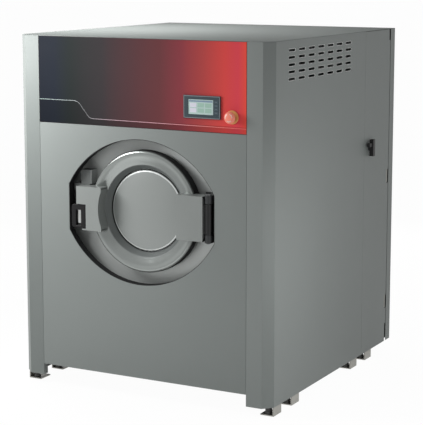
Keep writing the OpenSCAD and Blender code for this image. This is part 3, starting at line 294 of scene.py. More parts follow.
def worn_edges():
    """Paint rubbed thin along the edges, in patches."""
    group, take, give = new_group(
        "worn edges",
        {"Colour": mid_grey, "Bare Colour": tone(150, 150, 148), "Amount": 0.5},
        {"Colour": mid_grey})
    rub_radius, edge_gain, patch_scale, patch_floor, patch_gain = 0.0022, 7.0, 45.0, 0.36, 4.0
    rounded = dialled(group.nodes.new("ShaderNodeBevel"), Radius=rub_radius)
    rounded.samples = 4
    facing = group.nodes.new("ShaderNodeNewGeometry").outputs["Normal"]
    turn = vector_maths(group, "DOT_PRODUCT", rounded.outputs["Normal"], facing).outputs["Value"]
    edge = maths(group, "MULTIPLY", maths(group, "SUBTRACT", 1.0, turn), edge_gain, True)
    patch = noise(group, own_place(group), patch_scale, 6.0, 0.75)
    above = maths(group, "SUBTRACT", patch, patch_floor)
    rubbed = maths(group, "MULTIPLY", edge, maths(group, "MULTIPLY", above, patch_gain, True))
    where = maths(group, "MULTIPLY", rubbed, take["Amount"], True)
    dialled(give, Colour=mixed(group, where, take["Colour"], take["Bare Colour"]))
    return group


surface_group = uneven_surface()
dust_group = settled_dust()
wear_group = worn_edges()


def placed(tree, group, **values):
    """Puts a shader group in a material, feeds its inputs and gives its outputs."""
    node = tree.nodes.new("ShaderNodeGroup")
    node.node_tree = group
    return dialled(node, **values).outputs


def surface(name, colour, rough, metallic=0.0, cloud=0.06, spread=0.05, stretch=(1, 1, 1),
            grain=0.02, bump=0.02, dust=0.0, gloss=0.5, wear=0.0, bare=(150, 150, 148)):
    """A Principled material fed by the uneven surface, the worn edges and the dust."""
    paint, tree, shader = new_paint(name)
    uneven = placed(tree, surface_group, Colour=colour, Cloud=cloud, Gloss_Spread=spread,
                    Roughness=rough, Grain_Stretch=stretch, Grain_Tone=grain)
    shade = uneven["Colour"]
    if wear:
        shade = placed(tree, wear_group, Colour=shade, Amount=wear,
                       Bare_Colour=tone(*bare))["Colour"]
    if dust:
        shade = placed(tree, dust_group, Colour=shade, Amount=dust)["Colour"]
    lift = dialled(tree.nodes.new("ShaderNodeBump"), Strength=bump, Distance=0.001,
                   Height=uneven["Grain"])
    dialled(shader, Base_Color=shade, Roughness=uneven["Roughness"], Metallic=metallic,
            Specular_IOR_Level=gloss, Normal=lift.outputs["Normal"])
    return paint


def alone(piece):
    """Selects one object and makes it active."""
    bpy.ops.object.select_all(action="DESELECT")
    piece.select_set(True)
    bpy.context.view_layer.objects.active = piece


def opened(piece):
    """Goes into edit mode on one object, with all of it selected."""
    alone(piece)
    bpy.ops.object.mode_set(mode="EDIT")
    bpy.ops.mesh.select_all(action="SELECT")


def modified(piece, kind, **settings):
    """Puts one modifier on a piece and applies it."""
    alone(piece)
    change = piece.modifiers.new("change", kind)
    for label, value in settings.items():
        setattr(change, label, value)
    bpy.ops.object.modifier_apply(modifier="change")
    return piece


def smoothed(piece, angle=40):
    """Shades smooth below an angle, weighted by the faces' sizes."""
    alone(piece)
    bpy.ops.object.shade_smooth_by_angle(angle=math.radians(angle))
    return modified(piece, "WEIGHTED_NORMAL", keep_sharp=True, weight=80)


def eased(piece, width, segments=2, angle=32):
    """Rounds the edges sharper than an angle and keeps the flat faces flat in the shading."""
    modified(piece, "BEVEL", width=width / 1000, segments=segments, limit_method="ANGLE",
             angle_limit=math.radians(angle))
    return smoothed(piece)


def fitted(piece, body, slot, paint, *nodes):
    """Gives a finished piece its material and body, hides its CAD nodes; the slot is not used."""
    piece.data.materials.clear()
    piece.data.materials.append(paint)
    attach(piece, body)
    if nodes:
        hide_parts(*nodes)
    return piece


def copied(node, name):
    """A copy of a CAD node's mesh, merged and with its flat faces joined up."""
    merge_within, flat_within = 0.00002, 0.5
    piece = bpy.data.objects.new(name, frame["nodes"][node].data.copy())
    bpy.context.scene.collection.objects.link(piece)
    opened(piece)
    bpy.ops.mesh.remove_doubles(threshold=merge_within)
    bpy.ops.mesh.dissolve_limited(angle_limit=math.radians(flat_within))
    bpy.ops.object.mode_set(mode="OBJECT")
    return piece


def folded(node, name, paint, width, segments=2):
    """A CAD node with its edges rounded as a press, a mould or a file leaves them."""
    piece = eased(copied(node, name), width, segments)
    return fitted(piece, frame["nodes"][node]["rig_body"], node, paint, node)


mid_depth = 480  # millimetres from the front panel back to the frame's origin


def painted_where(piece, paint, test):
    """Gives a second material to the faces whose centre, in millimetres, passes a test."""
    piece.data.materials.append(paint)
    second = len(piece.data.materials) - 1
    for face in piece.data.polygons:
        x, y, z = face.center
        if test(x * 1000, y * 1000 + mid_depth, z * 1000):
            face.material_index = second


def cut_level(piece, z):
    """Cuts a piece's faces at a height in millimetres, so that those above can be painted."""
    opened(piece)
    bpy.ops.mesh.bisect(plane_co=(0, 0, z / 1000), plane_no=(0, 0, 1))
    bpy.ops.object.mode_set(mode="OBJECT")


primer = surface("base primer", tone(70, 72, 72), 0.55, cloud=0.1, dust=0.5, bump=0.05, wear=0.6)
folded("base_frame", "base_ladder", primer, 1.2)
iron_paint = surface("upright paint", tone(118, 122, 122), 0.45, 0.4, cloud=0.12, dust=0.2)
uprights = folded("cabinet_frame", "corner_uprights", iron_paint, 0.8)
# The top rails' outer faces behind the slots are painted black: painted shade seen through the
# louvres.
shade_from, rail_face = 1210, 493
cut_level(uprights, shade_from)
rail_painted_shade = surface("rail painted shade", tone(20, 20, 21), 0.7, cloud=0.1, bump=0.1, gloss=0.2)
painted_where(uprights, rail_painted_shade, lambda x, d, z: z > shade_from and abs(x) > rail_face)


# --- Feet ---------------------------------------------------------------------------------
# Zinc-plated brackets pressed from 4 mm plate, each with an anchor hole in its floor flange,
# and a black levelling foot with a threaded stud and a lock nut standing on the flange.

zinc = surface("zinc plate", tone(150, 149, 143), 0.4, 0.7, cloud=0.3, spread=0.14, dust=0.3,
               bump=0.08)
folded("foot_brackets", "floor_brackets", zinc, 0.9)


def at(x, depth, z):
    """Metres in the frame, from millimetres across, behind the front panel and above the floor."""
    return Vector((x / 1000, (depth - mid_depth) / 1000, z / 1000))


def faces_out():
    """In edit mode, turns all faces outwards and goes back to object mode."""
    bpy.ops.mesh.select_all(action="SELECT")
    bpy.ops.mesh.normals_make_consistent(inside=False)
    bpy.ops.object.mode_set(mode="OBJECT")


def extruded(move):
    """In edit mode, extrudes what is selected by a move in metres."""
    bpy.ops.mesh.extrude_region_move(TRANSFORM_OT_translate={"value": move})


def turned(name, centre, axis, profile, steps):
    """Turns a line of radius and height round an upright or a depth axis, ring by ring."""
    along = {"Y": Vector((0, 1, 0)), "Z": Vector((0, 0, 1))}[axis]
    turn = {"Y": (math.pi / 2, 0, 0), "Z": (0, 0, 0)}[axis]
    scale = Vector((1, 1, 1)) - along
    least, merge_within = 0.01, 0.00003
    radius, height = max(profile[0][0], least), profile[0][1]
    piece = added(name, bpy.ops.mesh.primitive_circle_add, vertices=steps, radius=radius / 1000,
                  location=centre + along * height / 1000, rotation=turn)
    bpy.ops.object.mode_set(mode="EDIT")
    bpy.ops.mesh.select_mode(type="EDGE")
    bpy.ops.mesh.select_all(action="SELECT")
    for ring, further in profile[1:]:
        ring = max(ring, least)
        extruded(along * (further - height) / 1000)
        if ring != radius:
            grow = along + scale * (ring / radius)
            bpy.ops.transform.resize(value=grow, center_override=centre + along * further / 1000)
        radius, height = ring, further
    bpy.ops.mesh.select_all(action="SELECT")
    bpy.ops.mesh.remove_doubles(threshold=merge_within)
    faces_out()
    return piece


def joined(name, pieces):
    """Joins finished shapes into one piece."""
    alone(pieces[0])
    for piece in pieces:
        piece.select_set(True)
    bpy.ops.object.join()
    pieces[0].name = name
    return pieces[0]


def hex_nut(name, centre, axis, radius, low, high):
    """A six-sided nut with its corners turned off."""
    corner = radius * 0.12
    cut = radius - corner
    piece = turned(name, centre, axis, [(0, low), (cut, low), (radius, low + corner),
                                        (radius, high - corner), (cut, high), (0, high)], 6)
    return eased(piece, 0.3, 2, 20)


def level_foot(x, depth):
    """One levelling foot: a moulded pad, a threaded stud and its nut."""
    centre = at(x, depth, 0)
    pad = turned("foot_pad", centre, "Z", [
        (0, 4), (11, 4), (12, 5.2), (12, 15), (11.3, 15.6), (11.3, 17.4), (12, 18), (12, 30),
        (10.6, 33.6), (8, 35), (0, 35)], 40)
    crest, root, ridges = 8, 7.1, 36
    thread = [(crest if i % 2 else root, 34.5 + i) for i in range(ridges)]
    stud = turned("foot_stud", centre, "Z", [(0, 34)] + thread + [(0, 70)], 28)
    return [smoothed(pad), smoothed(stud, 60), hex_nut("foot_nut", centre, "Z", 12.6, 44, 52)]


foot_black = surface("foot black", tone(24, 24, 25), 0.5, cloud=0.15, dust=0.4, bump=0.06)
feet = []
for side in (-473, 473):
    for foot_depth in (47.5, 189.5, 705.5, 847.5):
        feet += level_foot(side, foot_depth)
fitted(joined("levelling_pads", feet), "cabinet", "levelling_feet", foot_black, "levelling_feet")


# --- Side, rear and top panels ------------------------------------------------------------
# Folded sheet with a satin grey coat. The right side has a hinged rear part, and both sides
# have rows of punched slots and end in a corner post at the front. The top is two covers that
# meet in a seam.

panel_tone = tone(121, 126, 124)
panel_finish = {"cloud": 0.02, "spread": 0.03, "stretch": (1, 1, 0.02), "grain": 0.015,
                "bump": 0.01, "gloss": 0.2}
panel_paint = surface("satin grey sheet", panel_tone, 0.44, 0.05, **panel_finish)
top_paint = surface("satin grey top", panel_tone, 0.75, 0.0, cloud=0.03, spread=0.04,
                    stretch=(0.02, 1, 1), grain=0.015, bump=0.01, dust=0.05, gloss=0.06)
# The corner posts' front faces take other tones of the sheet's paint: darker on the left as painted
# shade, lighter on the right as painted light.
post_light_and_shade_tones = {"left_side": tone(110, 115, 113), "right_side": tone(127, 132, 130)}
post_inner, post_depth = 400, 12
for node, name in (
    ("left_side_panel", "left_side"),
    ("right_side_panel", "right_side"),
    ("service_door", "rear_side_door"),
    ("rear_panel", "rear_sheet"),
    ("front_panel", "front_sheet"),
):
    sheet = folded(node, name, panel_paint, 0.5)
    if name in post_light_and_shade_tones:
        post_light_and_shade_paint = surface(name + "_post_light_and_shade", post_light_and_shade_tones[name], 0.44, 0.05, **panel_finish)
        painted_where(sheet, post_light_and_shade_paint, lambda x, d, z: abs(x) > post_inner and d < post_depth)
for node, name in (("top_cover_front", "front_top"), ("top_cover_rear", "rear_top")):
    folded(node, name, top_paint, 0.4)


# --- Door cut-out trim --------------------------------------------------------------------
# A black skirt pushed on the edge of the front panel's cut-out. It closes most of the gap between
# the panel and the loading ring of the sprung tub, and its black is painted shade in that gap.

def chosen(piece, mode, test):
    """In edit mode, selects the corners, edges or faces whose middle, in millimetres, passes."""
    bpy.ops.object.mode_set(mode="OBJECT")
    mesh = piece.data
    for kind in (mesh.vertices, mesh.edges, mesh.polygons):
        kind.foreach_set("select", [False] * len(kind))
    kind = {"VERT": mesh.vertices, "EDGE": mesh.edges, "FACE": mesh.polygons}[mode]
    for part in kind:
        if mode == "VERT":
            middle = part.co
        elif mode == "EDGE":
            middle = (mesh.vertices[part.vertices[0]].co + mesh.vertices[part.vertices[1]].co) / 2
        else:
            middle = part.center
        part.select = bool(test(middle.x * 1000, middle.y * 1000 + mid_depth, middle.z * 1000))
    bpy.ops.object.mode_set(mode="EDIT")
    bpy.ops.mesh.select_mode(type=mode)


def walled(piece, thickness):
    """Gives an open sheet its wall, half of it on each side."""
    return modified(piece, "SOLIDIFY", thickness=thickness / 1000, offset=0.0,
                    use_even_offset=True)


door_z = 660
cut_centre, cut_radius, cut_half = 76, 330, 290
skirt_in, skirt_front, skirt_width, near = 1.05, 0.5, 0.0275, 0.6
arc_radius = cut_radius - skirt_in
side_x = cut_half - skirt_in
side_z = door_z - cut_centre + math.sqrt(arc_radius ** 2 - side_x ** 2)
skirt = added("cutout_shade_skirt", bpy.ops.mesh.primitive_circle_add, vertices=256,
              radius=arc_radius / 1000, rotation=(math.pi / 2, 0, 0),
              location=at(0, skirt_front, door_z - cut_centre))
opened(skirt)
bpy.ops.mesh.bisect(plane_co=at(0, skirt_front, side_z), plane_no=(0, 0, 1), clear_inner=True)
bpy.ops.mesh.select_all(action="SELECT")
bpy.ops.mesh.duplicate()
bpy.ops.transform.rotate(value=math.pi, orient_axis="Y",
                         center_override=at(0, skirt_front, door_z))
for side in (-1, 1):
    chosen(skirt, "VERT", lambda x, d, z: (
        x * side > side_x - near and abs(abs(z - door_z) - side_z + door_z) < near))
    bpy.ops.mesh.edge_face_add()
bpy.ops.mesh.select_all(action="SELECT")
extruded((0, skirt_width, 0))
faces_out()
# The skirt's black is painted shade for the dark gap round the cut-out; the door's rim band uses it
# too.
painted_shade_black = surface("skirt painted shade", tone(20, 20, 21), 0.62, cloud=0.1, bump=0.1, gloss=0.25)
fitted(eased(walled(skirt, 1.7), 0.4, 2, 60), "cabinet", "front_panel", painted_shade_black)


# --- Louvre rims --------------------------------------------------------------------------
# The punched slots have steel lips turned inwards, near white in part as a painted highlight, in
# seven columns and five rows on each side. One lip is shaped and then repeated.

def tile(name, x0, x1, d0, d1, z0, z1):
    """A flat rectangle from its sides in millimetres, of which one pair is the same."""
    flat = [x0 == x1, d0 == d1, z0 == z1].index(True)
    turn = ((0, math.pi / 2, 0), (math.pi / 2, 0, 0), (0, 0, 0))[flat]
    low, high = at(x0, d0, z0), at(x1, d1, z1)
    bpy.ops.object.select_all(action="DESELECT")
    bpy.ops.mesh.primitive_plane_add(size=1, location=(low + high) / 2, rotation=turn)
    piece = bpy.context.object
    piece.name = name
    bpy.ops.object.transform_apply(location=False, rotation=True, scale=False)
    piece.scale = [size or 1 for size in high - low]
    bpy.ops.object.transform_apply()
    return piece


def rowed(piece, count, step):
    """Repeats a piece in a row, each by a step in metres."""
    return modified(piece, "ARRAY", count=count, use_relative_offset=False,
                    use_constant_offset=True, constant_offset_displace=step)


# The lips' near-white tone is partly painted highlight, beside their metal's own shine.
lip_highlight_steel = surface("lip steel and highlight", tone(226, 228, 226), 0.3, 0.6, cloud=0.1)
slot_w, slot_h, first_slot, low_slot, lip_x = 53.6, 11.6, 154, 1128, 499.4
lip_corner, lip_width, lip_depth = 0.004, 0.0013, 0.003
slot_columns, column_step, slot_rows, row_step = 7, 0.079, 5, 0.024
for side, name in ((1, "right_slot_lips"), (-1, "left_slot_lips")):
    lips = tile(name, side * lip_x, side * lip_x, first_slot - slot_w / 2, first_slot + slot_w / 2,
                low_slot - slot_h / 2, low_slot + slot_h / 2)
    opened(lips)
    bpy.ops.mesh.bevel(offset=lip_corner, segments=4, affect="VERTICES")
    bpy.ops.mesh.select_all(action="SELECT")
    bpy.ops.mesh.inset(thickness=lip_width)
    bpy.ops.mesh.delete(type="FACE")
    bpy.ops.mesh.select_all(action="SELECT")
    extruded((-side * lip_depth, 0, 0))
    faces_out()
    rowed(eased(lips, 0.4, 1), slot_columns, (0, column_step, 0))
    rowed(lips, slot_rows, (0, 0, row_step))
    fitted(lips, "cabinet", "right_side_panel" if side > 0 else "left_side_panel", lip_highlight_steel)


# --- Control fascia -----------------------------------------------------------------------
# A folded tray with a printed film on its face. The print runs from near black at the left to
# bright red at the right, and a thin silver line steps down and follows the lower edge.

def ramp_across(tree, low, high, stops):
    """A colour that changes across the machine, from stops of place and colour."""
    across = axes(tree, own_place(tree))["X"]
    ramp = tree.nodes.new("ShaderNodeValToRGB")
    marks = ramp.color_ramp.elements
    while len(marks) < len(stops):
        marks.new(0.5)
    for mark, (place, colour) in zip(marks, stops):
        mark.position = place
        mark.color = colour
    dialled(ramp, Fac=ranged(tree, across, From_Min=low, From_Max=high))
    return ramp.outputs["Color"]


def printed(name, stops, rough, gloss, metallic=0.0, shaded=False):
    """Ink or film whose colour changes across the fascia, perhaps darker under the silver line."""
    paint, tree, shader = new_paint(name)
    film_half = 0.41
    colour = ramp_across(tree, -film_half, film_half, stops)
    if shaded:
        place = axes(tree, own_place(tree))
        slope_left, slope_right, line_high, line_low, darker = -0.247, -0.204, 1.034, 0.977, 0.72
        line = ranged(tree, place["X"], From_Min=slope_left, From_Max=slope_right,
                      To_Min=line_high, To_Max=line_low)
        below = maths(tree, "LESS_THAN", place["Z"], line)
        deep = vector_maths(tree, "SCALE", colour, Scale=darker).outputs[0]
        colour = mixed(tree, below, colour, deep)
    skin = placed(tree, surface_group, Colour=colour, Cloud=0.02, Gloss_Spread=0.03,
                  Roughness=rough, Grain_Tone=0.01)
    dialled(shader, Base_Color=skin["Colour"], Roughness=skin["Roughness"], Metallic=metallic,
            Specular_IOR_Level=gloss)
    return paint


tray_paint = surface("fascia tray", tone(58, 40, 44), 0.5, gloss=0.2)
folded("control_fascia", "fascia_tray", tray_paint, 0.5)
film = printed("printed film", [
    (0.0, tone(18, 22, 30)), (0.08, tone(20, 25, 34)), (0.16, tone(26, 31, 31)),
    (0.32, tone(46, 42, 44)), (0.46, tone(73, 48, 51)), (0.6, tone(96, 53, 56)),
    (0.7, tone(128, 57, 64)), (0.8, tone(168, 68, 67)), (0.9, tone(210, 74, 71)),
    (0.96, tone(214, 72, 83)), (1.0, tone(232, 82, 67)),
], 0.55, 0.05, shaded=True)
folded("fascia_film", "printed_film", film, 0.2, 1)

line_half, line_d = 0.95, -0.12
line_path = [(-408, 1035), (-262, 1035), (-250, 1032), (-240, 1024), (-204, 981), (-196, 977),
             (-186, 975.5), (408, 971.5)]
(start_x, start_z), (next_x, _) = line_path[:2]
silver = tile("silver_line", start_x, next_x, line_d, line_d, start_z - line_half,
              start_z + line_half)
bpy.ops.object.mode_set(mode="EDIT")
for (x0, z0), (x1, z1) in zip(line_path[1:], line_path[2:]):
    chosen(silver, "EDGE", lambda x, d, z: x > x0 - 0.01)
    extruded(at(x1, 0, z1) - at(x0, 0, z0))
bpy.ops.object.mode_set(mode="OBJECT")
silver_ink = printed("silver line", [
    (0.0, tone(116, 132, 128)), (0.25, tone(122, 122, 124)), (0.4, tone(168, 140, 148)),
    (0.6, tone(190, 140, 148)), (0.85, tone(214, 120, 116)), (1.0, tone(214, 96, 92)),
], 0.4, 0.4, 0.3)
fitted(walled(silver, 0.3), "cabinet", "fascia_film", silver_ink)


# --- Display ------------------------------------------------------------------------------
# A moulded bezel clipped into the fascia round a small touch screen, with a strip of four keys
# at its right. The screen shows a plain pale page with a heading bar and six tiles.

def block(name, x0, x1, d0, d1, z0, z1, round_by, segments=2):
    """A block from its sides in millimetres, with its edges rounded."""
    low, high = at(x0, d0, z0), at(x1, d1, z1)
    piece = added(name, bpy.ops.mesh.primitive_cube_add, size=1, location=(low + high) / 2,
                  scale=high - low)
    return eased(piece, round_by, segments)


bezel_x, bezel_z, bezel_w, bezel_h = 244.5, 1036.5, 139, 77
bezel_paint = surface("bezel plastic", tone(46, 60, 66), 0.42, bump=0.05, gloss=0.3)
folded("display_bezel", "display_surround", bezel_paint, 0.9, 3)
# A light grey rim along the bezel's edge is a painted highlight on its rounded edge; the keys'
# marks below share its grey as print.
rim_in, rim_face, rim_corner, rim_width = 1.2, -5.05, 0.003, 0.0022
rim = tile("display_rim_highlight", bezel_x - bezel_w / 2 + rim_in, bezel_x + bezel_w / 2 - rim_in, rim_face,
           rim_face, bezel_z - bezel_h / 2 + rim_in, bezel_z + bezel_h / 2 - rim_in)
opened(rim)
bpy.ops.mesh.bevel(offset=rim_corner, segments=4, affect="VERTICES")
bpy.ops.mesh.select_all(action="SELECT")
bpy.ops.mesh.inset(thickness=rim_width)
bpy.ops.mesh.delete(type="FACE")
bpy.ops.object.mode_set(mode="OBJECT")
rim_highlight_and_mark_grey = surface("bezel highlight and key marks", tone(120, 126, 130), 0.4, gloss=0.3)
fitted(eased(walled(rim, 0.5), 0.15, 1), "cabinet", "display_bezel", rim_highlight_and_mark_grey)

key_half, mark_half = 4.2, 0.5
keys = []
for key_z in (1055, 1043, 1031, 1019):
    keys.append(block("key", 292, 307, -5.7, -4.8, key_z - key_half, key_z + key_half, 0.5))
    keys.append(block("key_mark", 297, 302, -5.85, -5.6, key_z - mark_half, key_z + mark_half,
                      0.08, 1))
key_grey = surface("key rubber", tone(60, 76, 84), 0.55, bump=0.1, gloss=0.3)
key_strip = fitted(joined("display_keys", keys), "cabinet", "display_bezel", key_grey)
mark_from = -5.72
painted_where(key_strip, rim_highlight_and_mark_grey, lambda x, d, z: d < mark_from)

screen_paint = surface("screen page", tone(174, 196, 192), 0.2, cloud=0.02, gloss=0.4)
folded("display_screen", "display_page", screen_paint, 0.2, 1)
page_front, page_back, heading_low, tile_half_w, tile_half_h = -4.25, -3.95, 1052, 12, 7
tiles = [block("heading", 196, 285, page_front, page_back, 1053, 1058.5, 0.1, 1)]
for tile_z in (1042.5, 1025):
    for tile_x in (212, 240.5, 269):
        tiles.append(block("page_tile", tile_x - tile_half_w, tile_x + tile_half_w, page_front,
                           page_back, tile_z - tile_half_h, tile_z + tile_half_h, 0.1, 1))
page = joined("page_tiles", tiles)
page_green = surface("page tiles", tone(150, 182, 168), 0.2, gloss=0.4)
fitted(page, "cabinet", "display_screen", page_green)
heading_blue = surface("page heading", tone(120, 140, 160), 0.2, gloss=0.4)
painted_where(page, heading_blue, lambda x, d, z: z > heading_low)
tile_pale, pale_until = surface("page pale", tone(206, 206, 218), 0.2, gloss=0.4), 226
painted_where(page, tile_pale, lambda x, d, z: x < pale_until and z < heading_low)


# --- Emergency stop -----------------------------------------------------------------------
# A red mushroom head on a grey plunger, with a yellow collar on the fascia and a threaded
# barrel and contact block behind it.

stop_x, stop_z = 357, 1008
stop_at = at(stop_x, 0, stop_z)
yellow = surface("collar yellow", tone(206, 150, 92), 0.4, gloss=0.3)
folded("stop_collar", "stop_ring", yellow, 0.6)
folded("stop_contacts", "stop_contact_block", surface("contact block", tone(40, 70, 56), 0.5), 0.6)
folded("stop_plunger", "stop_stem", surface("plunger grey", tone(90, 92, 94), 0.45), 0.3)
stop_red = surface("stop red", tone(238, 136, 116), 0.34, gloss=0.45, cloud=0.03)
head = turned("stop_mushroom", stop_at, "Y", [
    (0, -28), (6, -27.9), (11, -27.4), (15, -26.2), (18, -24), (19.6, -21.6), (20, -19.6),
    (19.4, -18.2), (17, -16.6), (12, -15.2), (10, -14.6), (10, -14.2), (4.05, -14.2),
    (4.05, -24.1), (0, -24.1)], 64)
fitted(smoothed(head), "stop_head", "stop_head", stop_red, "stop_head")
arrows = turned("stop_arrow_ring", stop_at, "Y", [
    (11.2, -27.62), (13.4, -27.02), (13.4, -26.7), (11.2, -27.3), (11.2, -27.62)], 48)
arrow_step, arrow_span = 120, 74
chosen(arrows, "FACE", lambda x, d, z: (
    math.degrees(math.atan2(z - stop_z, x - stop_x)) % arrow_step > arrow_span))
bpy.ops.mesh.delete(type="FACE")
bpy.ops.mesh.select_mode(type="EDGE")
bpy.ops.mesh.select_all(action="DESELECT")
bpy.ops.mesh.select_non_manifold()
bpy.ops.mesh.fill()
faces_out()
fitted(smoothed(arrows), "stop_head", "stop_head", surface("arrow white", tone(222, 200, 190), 0.4))


# --- Services at the rear -----------------------------------------------------------------
# A sheet box for the drive, solenoid water valves with threaded inlets, rubber hoses, the steel
# drain and vent pipes and the ribbed gland of the mains cable. Zinc hinges and a black turn
# latch hold the side door, and washer-head screws the rear sheet.

box_paint = surface("box grey", tone(150, 152, 150), 0.45, wear=0.4, dust=0.2)
folded("electrical_box", "drive_box", box_paint, 0.8)
valve_white = surface("valve plastic", tone(196, 194, 186), 0.45, bump=0.05)
folded("inlet_valves", "water_valves", valve_white, 0.5)
inlet_z, thread_start, thread_turns = 1146.5, 1085.4, 6
thread_root, thread_crest, pitch = 13.1, 14.2, 2.3
threads = []
for inlet_x in (150, 230, 310):
    seat = at(inlet_x, 0, inlet_z)
    ridge = [(thread_root, 1084.6)]
    for turn in range(thread_turns):
        crest = thread_start + turn * pitch
        ridge += [(thread_crest, crest), (thread_crest, crest + 0.5), (thread_root, crest + 1.3)]
    ridge += [(12.9, 1098.6), (12.9, 1084.6), (thread_root, 1084.6)]
    threads.append(smoothed(turned("inlet_thread", seat, "Y", ridge, 40), 50))
    threads.append(hex_nut("inlet_nut", seat, "Y", 19, 1080.1, 1084.4))
fitted(joined("inlet_threads", threads), "cabinet", "inlet_valves", valve_white)
rubber = surface("hose rubber", tone(34, 34, 36), 0.6, bump=0.12, dust=0.2, gloss=0.3)
folded("water_hoses", "hoses", rubber, 0.5)
pipe_steel = surface("pipe steel", tone(160, 162, 162), 0.32, 0.85, stretch=(0.02, 1, 1), grain=0.1)
folded("drain_outlet", "drain_pipe", pipe_steel, 0.5)
folded("vent_pipe", "exhaust_pipe", pipe_steel, 0.5)
black_plastic = surface("black plastic", tone(28, 28, 29), 0.5, bump=0.08, gloss=0.3)
gland_at, gland_ribs, rib_radius = at(-280, 0, 1056.5), 16, 0.0148
gland = [hex_nut("gland_base", gland_at, "Y", 17, 1080, 1086)]
gland.append(smoothed(turned("gland_dome", gland_at, "Y", [
    (7, 1078.6), (12, 1078.6), (12, 1087.4), (14.6, 1088), (15, 1089), (15, 1096), (14, 1099.4),
    (11.6, 1101.6), (9, 1102), (7.4, 1101.4), (7, 1100), (7, 1078.6)], 48)))
for rib in range(gland_ribs):
    way = math.tau * rib / gland_ribs
    rib_at = gland_at + Vector((math.cos(way), 0, math.sin(way))) * rib_radius
    gland.append(turned("gland_rib", rib_at, "Y", [
        (0, 1088.6), (1, 1089), (1, 1096), (0, 1097.6)], 8))
fitted(joined("mains_gland", gland), "cabinet", "cable_gland", black_plastic, "cable_gland")
folded("service_hinges", "side_door_hinges", zinc, 0.4)
folded("service_latch", "turn_latch", black_plastic, 2.4, 3)

screws = []
for screw_x in (-480, 480):
    for screw_z in (72, 358, 644, 930, 1216.5):
        seat = at(screw_x, 0, screw_z)
        screws.append(smoothed(turned("screw_washer", seat, "Y", [
            (0, 1080.1), (6.4, 1080.1), (6.4, 1080.9), (5.8, 1081.2), (0, 1081.2)], 24)))
        screws.append(hex_nut("screw_head", seat, "Y", 4.6, 1081.1, 1083.4))
fitted(joined("rear_screws", screws), "cabinet", "cover_screws", zinc, "cover_screws")


# --- Suspension ---------------------------------------------------------------------------
# Four coil springs with closed flat ends stand on the base and carry the cradle, and four
# tubular dampers beside them calm the tub.

def coil(name, x, depth, low, high, radius, wire, turns):
    """A compression spring: a wire circle wound up, with a closed turn at each end."""
    foot, top = low + wire, high - wire
    bpy.ops.object.select_all(action="DESELECT")
    bpy.ops.mesh.primitive_circle_add(vertices=12, radius=wire / 1000,
                                      rotation=(math.pi / 2, 0, 0),
                                      location=at(x + radius, depth, foot))
    wound = bpy.context.object
    wound.name = name
    bpy.context.scene.cursor.location = at(x, depth, foot)
    bpy.ops.object.origin_set(type="ORIGIN_CURSOR")
    bpy.ops.object.transform_apply(location=False, rotation=True, scale=True)
    steps = 36 * turns
    modified(wound, "SCREW", axis="Z", angle=math.tau * turns, screw_offset=(top - foot) / 1000,
             steps=steps, render_steps=steps, use_normal_calculate=True)
    bpy.ops.object.transform_apply()
    merge_within, ground_down = 0.00002, 0.98
    opened(wound)
    bpy.ops.mesh.remove_doubles(threshold=merge_within)
    bpy.ops.mesh.select_all(action="DESELECT")
    bpy.ops.mesh.select_non_manifold()
    bpy.ops.mesh.fill()
    faces_out()
    parts = [wound]
    for end in (foot, top):
        parts.append(added(name + "_end", bpy.ops.mesh.primitive_torus_add,
                           major_radius=radius / 1000, minor_radius=wire / 1000 * ground_down,
                           major_segments=40, minor_segments=12, location=at(x, depth, end)))
    return parts


spring_paint = surface("spring enamel", tone(46, 48, 52), 0.38, cloud=0.08, wear=0.5, gloss=0.5)
spring_low, spring_high, coil_radius, wire_radius, coil_turns = 100.2, 299.5, 28, 5.6, 6
coils = []
for spring_x in (-425, 425):
    for spring_depth in (190, 770):
        coils += coil("coil", spring_x, spring_depth, spring_low, spring_high, coil_radius,
                      wire_radius, coil_turns)
springs = smoothed(joined("coil_springs", coils))
springs.data.materials.clear()
springs.data.materials.append(spring_paint)
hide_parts("suspension_springs")
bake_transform(springs)
tubes = copied("damper_bodies", "damper_tubes")
tube_middle, rim_drop = 200, 0.001
chosen(tubes, "VERT", lambda x, d, z: z > tube_middle)
bpy.ops.transform.translate(value=(0, 0, -rim_drop))
bpy.ops.object.mode_set(mode="OBJECT")
fitted(eased(tubes, 0.8), "cabinet", "damper_bodies", foot_black, "damper_bodies")
rod_chrome = surface("ground rod", tone(176, 178, 180), 0.2, 0.95, cloud=0.05)
folded("damper_rods", "damper_shafts", rod_chrome, 0.3)


# --- Tub ----------------------------------------------------------------------------------
# Rolled stainless shell between two plates. The front plate carries the pressed loading ring
# that is seen through the cabinet's cut-out, the door's hinge and its lock. It sits in a welded
# cradle with cast counterweights, and the motor drives the large pulley with a belt.

# The loading ring's steel is made lighter than the tub's: painted light on a ring that sits in the
# shade of the cut-out.
lightened_ring_steel = surface("loading ring steel lightened", tone(184, 188, 186), 0.45, 0.3, cloud=0.05,
                     spread=0.06, gloss=0.4)
folded("tub_front_plate", "tub_front", lightened_ring_steel, 1.2, 3)
tub_steel = surface("tub stainless", tone(150, 153, 152), 0.36, 0.8, cloud=0.06, spread=0.06,
                    grain=0.06, stretch=(1, 0.03, 1))
folded("tub_shell", "tub_drum", tub_steel, 0.6)
folded("tub_back_plate", "tub_back", tub_steel, 0.8)
cast_paint = surface("cast iron paint", tone(66, 70, 74), 0.55, cloud=0.12, bump=0.35, wear=0.3,
                     dust=0.3)
folded("bearing_housing", "bearing_casting", cast_paint, 1.4)
folded("drum_bearings", "ball_bearings", rod_chrome, 0.4)
folded("shaft_seal", "lip_seal", surface("seal rubber", tone(94, 56, 40), 0.6, gloss=0.3), 0.4)
cradle_paint = surface("cradle paint", tone(66, 70, 74), 0.48, cloud=0.08, dust=0.3, wear=0.5)
folded("tub_cradle", "cradle", cradle_paint, 1.2)
folded("counterweights", "weights", cast_paint, 4, 3)
